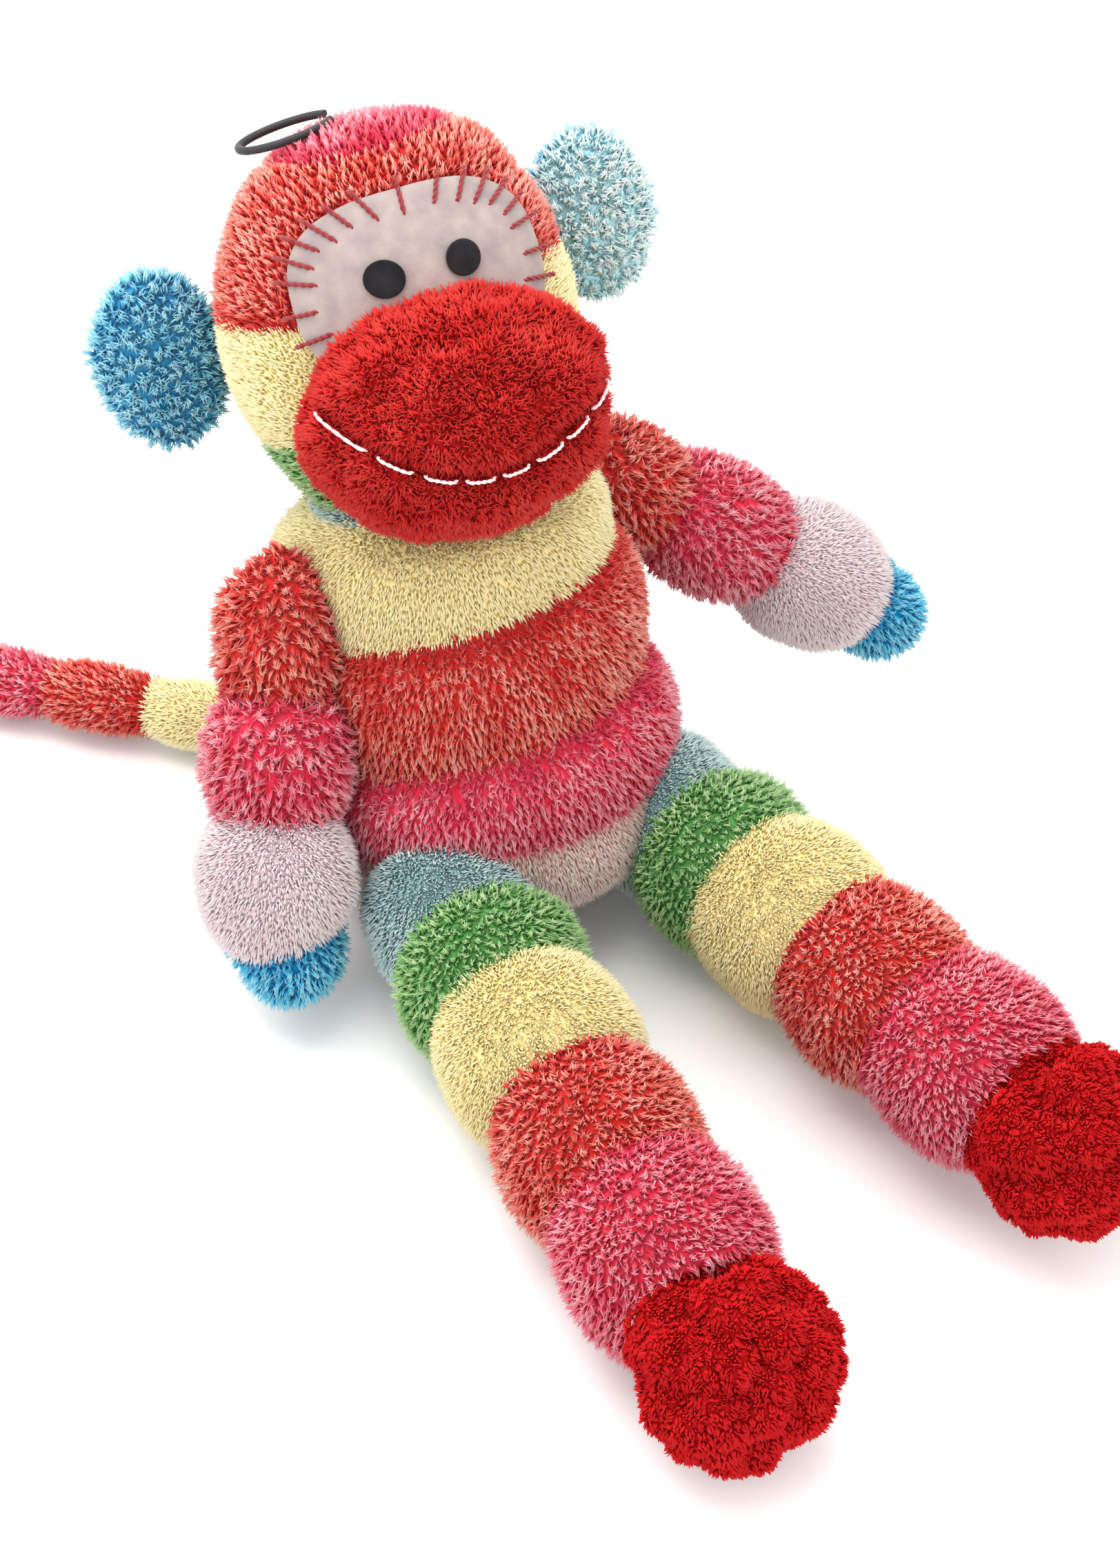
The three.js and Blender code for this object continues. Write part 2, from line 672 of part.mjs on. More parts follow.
// Muzzle: a padded dome that rests on the front of the head.
const headHull = solidOf(
  new THREE.SphereGeometry(1, 18, 12),
  new THREE.Matrix4().makeTranslation(0, head.rise, 0).multiply(
    new THREE.Matrix4().makeScale(halfWidth + muzzle.off, halfHeight + muzzle.off, deep * halfWidth + muzzle.off),
  ),
);
const muzzleFrame = new THREE.Matrix4().makeRotationX(rad(muzzle.tilt));
muzzleFrame.setPosition(0, head.rise + muzzle.y, muzzle.z);

function muzzleSolid(shrink) {
  const ball = new THREE.SphereGeometry(1, 16, 11);
  const size = new THREE.Matrix4().makeScale(
    muzzle.width / 2 - shrink, muzzle.height / 2 - shrink, muzzle.depth - shrink,
  );
  return solidOf(ball, muzzleFrame.clone().multiply(size));
}
const neckRoom = solidOf(new THREE.SphereGeometry(neck.bandRadius + 4, 16, 10));
const behindMuzzle = headHull.add(neckRoom);
const muzzleCover = muzzleSolid(0).subtract(muzzleSolid(WALL)).subtract(behindMuzzle);
const muzzleCore = muzzleSolid(WALL + CLEARANCE + 0.2).subtract(behindMuzzle);
headGroup.add(meshOf('muzzle_red_cover', geometryOf(muzzleCover), 'red'));
headGroup.add(meshOf('muzzle_stuffing', geometryOf(muzzleCore), 'fibre'));

// Smile: one thread across the muzzle, in a crease below its middle.
const smilePoints = [];
for (let i = 0; i <= smile.points; i += 1) {
  const across = smile.reach * (2 * i / smile.points - 1);
  const up = smile.middle + smile.bow * across ** 2 + smile.skew * across ** 3;
  const forward = Math.sqrt(Math.max(1 - across ** 2 - up ** 2, 0.02));
  const point = new THREE.Vector3(
    across * muzzle.width / 2, up * muzzle.height / 2, forward * muzzle.depth,
  );
  const outward = new THREE.Vector3(
    across / muzzle.width * 2, up / muzzle.height * 2, forward / muzzle.depth,
  ).normalize();
  point.addScaledVector(outward, 2 * CLEARANCE + THREAD / 2);
  smilePoints.push(point.applyMatrix4(muzzleFrame));
}
const smilePath = new THREE.CatmullRomCurve3(smilePoints);
const threadSection = new THREE.Shape();
threadSection.absarc(0, 0, THREAD / 2, 0, 2 * Math.PI);
const smileThread = new THREE.ExtrudeGeometry(threadSection, {
  steps: 2 * smile.points, extrudePath: smilePath, curveSegments: 3, bevelEnabled: false,
});
headGroup.add(meshOf('smile_thread', smileThread, 'whiteThread'));

// Ears: two panels face to face, sewn into the sides of the head.
for (const [side, sign] of [['right', -1], ['left', 1]]) {
  for (const [panel, facing] of [['front', 1], ['back', -1]]) {
    const profile = [[0, 0], ...arc(0, 1, 90, 0, 4)];
    const dome = lathe(profile, ear.segments);
    dome.rotateX(facing * Math.PI / 2);
    dome.scale(ear.width / 2, ear.height / 2, ear.thickness / 2 - CLEARANCE / 2);
    const out = sign * (head.width / 2 + ear.proud);
    dome.translate(out, head.rise + ear.y[side], ear.z + facing * CLEARANCE / 2);
    headGroup.add(meshOf(`${side}_ear_${panel}_panel`, dome, 'earBlue'));
  }
}

// Hang loop: a flattened ring of round elastic, sewn into the crown seam.
const along = new THREE.Vector3(...loop.along).normalize();
const across = new THREE.Vector3(...loop.across).normalize();
const loopRoot = new THREE.Vector3(...loop.root).setY(loop.root[1] + head.rise);
const loopPoints = [];
const loopCorners = 14;
for (let i = 0; i < loopCorners; i += 1) {
  const angle = 2 * Math.PI * i / loopCorners;
  const point = loopRoot.clone().addScaledVector(along, loop.length / 2 * (1 - Math.cos(angle)));
  loopPoints.push(point.addScaledVector(across, loop.width / 2 * Math.sin(angle)));
}
const loopSection = new THREE.Shape();
loopSection.absarc(0, 0, loop.cord / 2, 0, 2 * Math.PI);
const loopRing = new THREE.ExtrudeGeometry(loopSection, {
  steps: 24,
  extrudePath: new THREE.CatmullRomCurve3(loopPoints, true),
  curveSegments: 3,
  bevelEnabled: false,
});
headGroup.add(meshOf('hang_loop', loopRing, 'black'));

const stuffedMonkey = new THREE.Group();
toy.rotation.x = Math.PI / 2;
stuffedMonkey.add(toy);

export default stuffedMonkey;
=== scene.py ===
# %% [markdown]
# # A banded plush monkey
# This lesson dresses a jointed frame as a sewn, stuffed toy. Each colour is a band of fleece, so each
# colour is a piece of its own. Every piece is made in three steps. A skin is turned and blown up like a
# stuffed tube. The skin is cut into bands at its seams. Then pile is planted on it, fibre by fibre.

# %% Load the frame
import json
import math
import bpy
import numpy as np
from mathutils import Euler, Matrix, Vector, noise


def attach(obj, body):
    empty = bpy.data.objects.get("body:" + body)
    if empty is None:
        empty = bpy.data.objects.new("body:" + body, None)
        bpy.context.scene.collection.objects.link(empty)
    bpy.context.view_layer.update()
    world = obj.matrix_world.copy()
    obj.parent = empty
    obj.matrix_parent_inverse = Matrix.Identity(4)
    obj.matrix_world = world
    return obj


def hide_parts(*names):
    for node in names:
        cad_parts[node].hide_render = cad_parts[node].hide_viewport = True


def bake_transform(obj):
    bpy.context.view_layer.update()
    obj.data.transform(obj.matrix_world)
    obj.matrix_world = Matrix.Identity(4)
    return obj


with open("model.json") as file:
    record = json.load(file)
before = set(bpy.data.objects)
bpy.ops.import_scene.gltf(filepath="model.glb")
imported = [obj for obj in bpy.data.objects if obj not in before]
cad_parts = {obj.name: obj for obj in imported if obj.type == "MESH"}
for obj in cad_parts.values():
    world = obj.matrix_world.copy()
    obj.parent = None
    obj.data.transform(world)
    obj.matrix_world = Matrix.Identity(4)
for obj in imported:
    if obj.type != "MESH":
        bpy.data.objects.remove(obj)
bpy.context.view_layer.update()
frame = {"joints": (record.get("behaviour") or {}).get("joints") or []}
MM = 0.001
joint = {j["name"]: Vector(j["pos_m"]) for j in frame["joints"]}

# %% [markdown]
# ## Camera, light and floor
# A toy is shot from above on a white table. A long lens keeps its near foot from looking huge. One large
# soft lamp from the upper right and a white world give shadows with no edge.

# %% Camera
CAMERA_AZIMUTH, CAMERA_HEIGHT, CAMERA_ROLL = math.radians(-35.9), math.radians(43.4), math.radians(2.6)
CAMERA_TARGET = Vector((-9.6, -54.8, 67.9)) * MM
CAMERA_DISTANCE = 603.8 * MM
LENS = 80.0


def camera_axes():
    back = Vector((
        math.sin(CAMERA_AZIMUTH) * math.cos(CAMERA_HEIGHT),
        -math.cos(CAMERA_AZIMUTH) * math.cos(CAMERA_HEIGHT),
        math.sin(CAMERA_HEIGHT),
    ))
    right = (-back).cross(Vector((0, 0, 1))).normalized()
    up = right.cross(-back)
    cos, sin = math.cos(CAMERA_ROLL), math.sin(CAMERA_ROLL)
    return right * cos + up * sin, up * cos - right * sin, back


right, up, back = camera_axes()
turn = Matrix((right, up, back)).transposed().to_4x4()
bpy.ops.object.camera_add()
camera = bpy.context.object
camera.name = "camera"
camera.matrix_world = Matrix.Translation(CAMERA_TARGET + back * CAMERA_DISTANCE) @ turn
camera.data.sensor_fit = "HORIZONTAL"
camera.data.sensor_width = 36
camera.data.lens = LENS
camera.data.clip_start = 0.01
bpy.context.scene.camera = camera
print("camera at", [round(v, 3) for v in camera.location])


# %% Lamps, world and floor
LAMP_TARGET = Vector((0, -0.03, 0.06))


def lamp(name, place, size, power, colour):
    bpy.ops.object.light_add(type="AREA", location=Vector(place))
    made = bpy.context.object
    made.name = name
    made.data.size = size
    made.data.energy = power
    made.data.color = colour
    made.rotation_euler = (LAMP_TARGET - Vector(place)).to_track_quat("-Z", "Y").to_euler()


lamp("top_lamp", (-0.12, 0.25, 1.10), 1.0, 12.5, (1.0, 0.99, 0.97))
lamp("fill_lamp", (0.55, -0.80, 0.55), 0.9, 2.4, (1.0, 0.98, 0.96))
lamp("left_lamp", (-0.9, -0.2, 0.6), 0.8, 2.4, (0.97, 0.98, 1.0))
world = bpy.data.worlds.new("white_room")
world.use_nodes = True
world.node_tree.nodes["Background"].inputs["Color"].default_value = (1.0, 1.0, 1.0, 1)
world.node_tree.nodes["Background"].inputs["Strength"].default_value = 1.25
bpy.context.scene.world = world
bpy.context.scene.view_settings.view_transform = "Standard"

bpy.ops.mesh.primitive_plane_add(size=6)
floor = bpy.context.object
floor.name = "floor"
floor.location.z = -0.0006
paper = bpy.data.materials.new("white_paper")
paper.use_nodes = True
paper.node_tree.nodes["Principled BSDF"].inputs["Base Color"].default_value = (0.93, 0.93, 0.93, 1)
paper.node_tree.nodes["Principled BSDF"].inputs["Roughness"].default_value = 0.9
floor.data.materials.append(paper)

# %% [markdown]
# ## Fleece colours
# This fleece is dyed strong at the root and pale at the tip, so it looks frosted where the tips show
# and deep where it parts. A single colour would look like plastic. Each material reads three numbers
# that the pile carries. `tip` runs from 0 at a fibre's root to 1 at its point. `shade` differs from
# lock to lock. `edge` is 1 at a seam and in the muzzle's crease, and there the colour is pulled
# towards the root colour: that is painted shade. Noise adds drifts a few millimetres wide.

# %% Fleece materials
def rgb(red, green, blue):
    """A colour as seen, 0 to 255, made linear."""
    seen = (red, green, blue)
    return tuple(((v / 255 + 0.055) / 1.055) ** 2.4 if v > 10 else v / 3294.6 for v in seen) + (1,)


def add(tree, kind, x, y, **values):
    node = tree.nodes.new(kind)
    node.location = (x, y)
    for key, value in values.items():
        setattr(node, key, value)
    return node


def maths(tree, what, a, b, x, y):
    node = add(tree, "ShaderNodeMath", x, y, operation=what)
    for socket, value in zip(node.inputs, (a, b)):
        if isinstance(value, (int, float)):
            socket.default_value = value
        else:
            tree.links.new(value, socket)
    return node.outputs[0]


def fleece(name, root, body, tip, drift=0.45, vary=0.5, seam_shade_strength=0.5, sheen=0.1, patch=9):
    """Pile cloth: root, body and tip colours, and how strongly they drift and vary."""
    made = bpy.data.materials.new(name)
    made.use_nodes = True
    tree = made.node_tree
    shader = tree.nodes["Principled BSDF"]
    shader.inputs["Roughness"].default_value = 0.9
    shader.inputs["Specular IOR Level"].default_value = 0.1
    shader.inputs["Sheen Weight"].default_value = sheen
    shader.inputs["Sheen Roughness"].default_value = 0.5
    along = add(tree, "ShaderNodeAttribute", -1200, 200, attribute_name="tip").outputs["Fac"]
    shade = add(tree, "ShaderNodeAttribute", -1200, 0, attribute_name="shade").outputs["Fac"]
    edge = add(tree, "ShaderNodeAttribute", -1200, -200, attribute_name="edge").outputs["Fac"]
    place = add(tree, "ShaderNodeTexCoord", -1200, -400).outputs["Object"]
    cloud = add(tree, "ShaderNodeTexNoise", -1000, -400)
    cloud.inputs["Scale"].default_value = 1000 / patch
    cloud.inputs["Detail"].default_value = 3
    tree.links.new(place, cloud.inputs["Vector"])
    spread = maths(tree, "SUBTRACT", shade, 0.5, -900, 50)
    spread = maths(tree, "MULTIPLY", spread, vary, -800, 50)
    level = maths(tree, "ADD", along, spread, -700, 150)
    wander = maths(tree, "SUBTRACT", cloud.outputs["Fac"], 0.5, -800, -400)
    wander = maths(tree, "MULTIPLY", wander, drift * 2, -700, -400)
    level = maths(tree, "ADD", level, wander, -600, 100)
    # Painted shade: where edge is high, the colour is pulled back towards the root colour.
    painted_seam_shade = maths(tree, "MULTIPLY", edge, seam_shade_strength, -700, -200)
    level = maths(tree, "SUBTRACT", level, painted_seam_shade, -500, 100)
    ramp = add(tree, "ShaderNodeValToRGB", -350, 150)
    ramp.color_ramp.elements[0].color = rgb(*root)
    ramp.color_ramp.elements[1].color = rgb(*tip)
    ramp.color_ramp.elements.new(0.45).color = rgb(*body)
    tree.links.new(level, ramp.inputs["Fac"])
    tree.links.new(ramp.outputs["Color"], shader.inputs["Base Color"])
    return made


FLEECE = {
    "pink": fleece("pink_fleece", (208, 40, 70), (226, 92, 114), (246, 188, 194)),
    "coral": fleece("coral_fleece", (198, 34, 32), (218, 80, 68), (246, 184, 168)),
    "yellow": fleece(
        "yellow_fleece", (242, 226, 164), (244, 230, 174), (248, 238, 198), drift=0.15, vary=0.15,
    ),
    "green": fleece("green_fleece", (78, 142, 66), (130, 180, 108), (202, 222, 172)),
    "blue": fleece("thigh_blue_fleece", (134, 168, 172), (176, 204, 204), (224, 234, 230)),
    "lilac": fleece(
        "lilac_fleece", (224, 202, 208), (232, 216, 218), (242, 232, 232), drift=0.2, vary=0.2,
    ),
    "seat": fleece(
        "seat_lilac_fleece", (226, 176, 170), (240, 216, 208), (248, 236, 230), drift=0.25, vary=0.25,
    ),
    "tip_blue": fleece("bright_blue_fleece", (10, 128, 182), (84, 190, 224), (176, 232, 244)),
    "ear_blue": fleece("ear_blue_fleece", (44, 134, 180), (116, 194, 218), (190, 230, 240), drift=0.35),
    "ear_pale": fleece(
        "ear_pale_fleece", (168, 216, 224), (222, 240, 238), (242, 250, 248), drift=0.6, patch=16,
    ),
    "muzzle": fleece(
        "muzzle_red_wool", (176, 18, 18), (196, 36, 34), (212, 66, 58),
        drift=0.5, vary=0.3, sheen=0.03, patch=12,
    ),
    "foot": fleece(
        "foot_red_curl", (160, 10, 14), (196, 22, 26), (214, 38, 42),
        drift=0.4, vary=0.3, sheen=0, patch=8,
    ),
}
print("fleece colours", len(FLEECE))


# %% [markdown]
# ## Small hand tools
# Blender's operators work on what is selected, so one helper selects a single object. Another applies
# its modifiers. A third bakes an object's place into its mesh, so that the object stays at the origin.

# %% Hand tools
def only(obj):
    bpy.ops.object.select_all(action="DESELECT")
    obj.select_set(True)
    bpy.context.view_layer.objects.active = obj


def finish_modifiers(obj):
    only(obj)
    for modifier in list(obj.modifiers):
        bpy.ops.object.modifier_apply(modifier=modifier.name)


def settle(obj, matrix):
    only(obj)
    obj.matrix_world = matrix
    bpy.ops.object.transform_apply(location=True, rotation=True, scale=True)


def coords(obj):
    flat = np.zeros(len(obj.data.vertices) * 3)
    obj.data.vertices.foreach_get("co", flat)
    return flat.reshape(-1, 3)


def move_points(obj, points):
    obj.data.vertices.foreach_set("co", np.asarray(points, np.float32).ravel())
    obj.data.update()


def smooth(obj):
    only(obj)
    bpy.ops.object.shade_smooth()


def frame_along(origin, direction, towards=Vector((0, 0, 1))):
    """A matrix whose Z runs along direction and whose Y leans towards a second one."""
    z = direction.normalized()
    x = towards.cross(z).normalized()
    return Matrix.Translation(origin) @ Matrix((x, z.cross(x), z)).transposed().to_4x4()


# %% [markdown]
# ## Turning a skin
# A stuffed limb is round in section, so its outline is drawn once and spun. One vertex is extruded from
# point to point along the outline, and the chain is spun about Z. Between two seams the outline swells,
# quickly near the seam and gently in the middle, as cloth does when stuffing pushes it out.

# %% Outline and spin
def turned(name, points, steps=44):
    """points are (radius, along) in millimetres, from the axis to the axis."""
    bpy.ops.object.select_all(action="DESELECT")
    bpy.ops.mesh.primitive_plane_add(size=0.01)
    skin = bpy.context.object
    skin.name = name
    bpy.ops.object.mode_set(mode="EDIT")
    bpy.ops.mesh.select_all(action="SELECT")
    bpy.ops.mesh.merge(type="CENTER")
    here = Vector((0, 0, 0))
    for i, (radius, along) in enumerate(points):
        there = Vector((radius * MM, 0, along * MM))
        if i == 0:
            bpy.ops.transform.translate(value=there - here)
        else:
            bpy.ops.mesh.extrude_region_move(TRANSFORM_OT_translate={"value": there - here})
        here = there
    bpy.ops.mesh.select_all(action="SELECT")
    bpy.ops.mesh.spin(steps=steps, angle=2 * math.pi, center=(0, 0, 0), axis=(0, 0, 1))
    bpy.ops.mesh.select_all(action="SELECT")
    bpy.ops.mesh.remove_doubles(threshold=1e-5)
    bpy.ops.mesh.normals_make_consistent(inside=False)
    bpy.ops.object.mode_set(mode="OBJECT")
    return skin


def banded_outline(seams, radii, bulges, under, root, steps=7):
    """Outline of bands in a row. under is taken off all radii for the pile. root is how far the closed
    root end reaches below the first seam. A last radius of 0 closes the far end in a round cap."""
    points = [(0, seams[0] - root)]
    for share in (0.35, 0.7, 0.92):
        wide = (radii[0] - under) * math.sin(share * math.pi / 2)
        points.append((wide, seams[0] - root * (1 - share) ** 1.5))
    for band, bulge in enumerate(bulges):
        low, high = seams[band], seams[band + 1]
        start, end = radii[band], radii[band + 1]
        for step in range(steps):
            t = step / steps
            if end == 0:
                size = start + (bulge - start) * min(1, t * 3.2) if t < 0.35 else bulge
                size *= math.sqrt(max(1 - ((t - 0.35) / 0.65) ** 2, 0)) if t > 0.35 else 1
            else:
                flat = start + (end - start) * t
                size = flat + (bulge - flat) * (1 - abs(2 * t - 1) ** 3)
            points.append((max(size - under, 1), low + (high - low) * t))
    if radii[-1] == 0:
        points.append((0, seams[-1] - under))
    else:
        points += [(radii[-1] - under, seams[-1]), (0, seams[-1] + 1)]
    return points


# %% [markdown]
# ## Stuffing a skin
# Stuffing presses outwards evenly, so the skin is remeshed into even squares and blown up with the
# Cloth modifier's pressure, with gravity off. The seams are pinned, because stitches hold them in. How
# far a point may move is capped, so the toy keeps its size. A little noise afterwards makes the
# stuffing uneven, as it is in every sewn toy.

# %% Stuffing
def stuff(skin, seams, voxel=3.6, most=1.6, uneven=0.7, grain=22):
    remesh = skin.modifiers.new("even_squares", "REMESH")
    remesh.mode = "VOXEL"
    remesh.voxel_size = voxel * MM
    finish_modifiers(skin)
    start = coords(skin)
    near = voxel * 0.5 * MM
    held = [i for i, p in enumerate(start) if any(abs(p[2] - s * MM) < near for s in seams)]
    pins = skin.vertex_groups.new(name="stitches")
    pins.add(held, 1.0, "REPLACE")
    cloth = skin.modifiers.new("stuffing", "CLOTH")
    cloth.settings.quality = 4
    cloth.settings.use_pressure = True
    cloth.settings.uniform_pressure_force = 4
    cloth.settings.vertex_group_mass = "stitches"
    cloth.settings.effector_weights.gravity = 0
    for step in range(1, 21):
        bpy.context.scene.frame_set(step)
    finish_modifiers(skin)
    move = coords(skin) - start
    length = np.linalg.norm(move, axis=1, keepdims=True)
    move_points(skin, start + move * np.minimum(1, most * MM / np.maximum(length, 1e-9)))
    bpy.context.scene.frame_set(1)
    skin.vertex_groups.clear()
    rounder = skin.modifiers.new("rounder", "SUBSURF")
    rounder.levels = 1
    rounder.render_levels = 1
    finish_modifiers(skin)
    for vertex in skin.data.vertices:
        push = noise.fractal(vertex.co / (grain * MM), 0.6, 2.0, 2)
        vertex.co += vertex.normal * push * uneven * MM
    return skin


# %% [markdown]
# ## Cutting a skin into bands
# Neighbouring bands share the same cut, so their seam closes exactly. Each band is a copy of the whole
# skin, bisected at both of its seams, and the cuts are filled so that it is a closed pad. The faces of
# the cuts are marked, so that no pile grows inside a seam, and each vertex is told how near it is to
# the seam that the pile leans away from, so that painted shade can darken the fleece along that seam.

# %% Cutting
def cut_band(whole, name, low, high, shaded_seam_at=None, seam_shade_width=6):
    band = whole.copy()
    band.data = whole.data.copy()
    band.name = name
    bpy.context.scene.collection.objects.link(band)
    only(band)
    bpy.ops.object.mode_set(mode="EDIT")
    for level, is_low in ((low, True), (high, False)):
        if level is not None:
            bpy.ops.mesh.select_all(action="SELECT")
            bpy.ops.mesh.bisect(
                plane_co=(0, 0, level * MM), plane_no=(0, 0, 1), use_fill=True,
                clear_inner=is_low, clear_outer=not is_low,
            )
    bpy.ops.mesh.select_all(action="SELECT")
    bpy.ops.mesh.quads_convert_to_tris()
    bpy.ops.object.mode_set(mode="OBJECT")
    cuts = [level * MM for level in (low, high) if level is not None]
    outside = [all(abs(f.center.z - cut) > 1e-5 for cut in cuts) for f in band.data.polygons]
    band.data.attributes.new("outside", "BOOLEAN", "FACE").data.foreach_set("value", outside)
    # edge falls from 1 at the seam to 0 a few millimetres off; there the fleece gets painted shade.
    near = [0.0] * len(band.data.vertices)
    if shaded_seam_at is not None:
        for i, vertex in enumerate(band.data.vertices):
            near[i] = max(0, 1 - abs(vertex.co.z / MM - shaded_seam_at) / seam_shade_width)
    band.data.attributes.new("edge", "FLOAT", "POINT").data.foreach_set("value", near)
    return band


# %% [markdown]
# ## Fibres
# Pile is hundreds of thousands of fibres. One is a cone with three sides and a point, so it has only
# four faces, because it is repeated so often. `tip` is stored on it once, from 0 at the root to 1 at the
# point, and every copy carries it.

# %% Fibre shapes
def fibre_of(name, length, width):
    bpy.ops.object.select_all(action="DESELECT")
    bpy.ops.mesh.primitive_cone_add(
        vertices=3, radius1=width / 2 * MM, radius2=0, depth=length * MM,
        location=(0, 0, length / 2 * MM),
    )
    made = bpy.context.object
    made.name = name
    bpy.ops.object.transform_apply(location=True)
    bpy.ops.object.mode_set(mode="EDIT")
    bpy.ops.mesh.select_all(action="SELECT")
    bpy.ops.transform.resize(value=(1.25, 0.8, 1))
    bpy.ops.object.mode_set(mode="OBJECT")
    share = coords(made)[:, 2] / (length * MM)
    made.data.attributes.new("tip", "FLOAT", "POINT").data.foreach_set("value", np.clip(share, 0, 1))
    smooth(made)
    made.hide_render = True
    return made


FIBRES = {
    "combed": fibre_of("combed_fibre", 3.1, 0.71),
    "soft": fibre_of("soft_fibre", 2.5, 0.71),
    "chunky": fibre_of("chunky_fibre", 3.5, 0.77),
    "wool": fibre_of("wool_fibre", 2.6, 0.85),
    "curl": fibre_of("curl_fibre", 1.8, 0.95),
}
# Each kind's clumps: how wide they are in millimetres, and how firmly fibres lean into them.
CLUMPS = {
    "combed": (1.9, 1.3), "soft": (1.6, 0.3), "chunky": (2.5, 1.5), "wool": (3.2, 0.9), "curl": (3.0, 1.2),
}
print("fibres", {k: len(t.data.polygons) for k, t in FIBRES.items()})

# %% [markdown]
# ## Planting the pile
# Planting by hand would never end, so Geometry Nodes does it. Points are spread over the skin, and each
# gets a fibre that stands along the normal and leans with the comb. Real pile also gathers into little
# locks, with dark gaps between them. Voronoi cells give each fibre a lock to lean into, and a shade
# that it shares with its neighbours. The modifier is applied, so what is left is plain mesh. Where the
# toy rests on the floor its pile is pressed nearly flat, so none of it reaches through the floor.

# %% Pile nodes
PRESSED = 0.6  # pile lower than this is pressed flat, in millimetres
PRESSED_TO = 0.1  # what is left of its thickness there


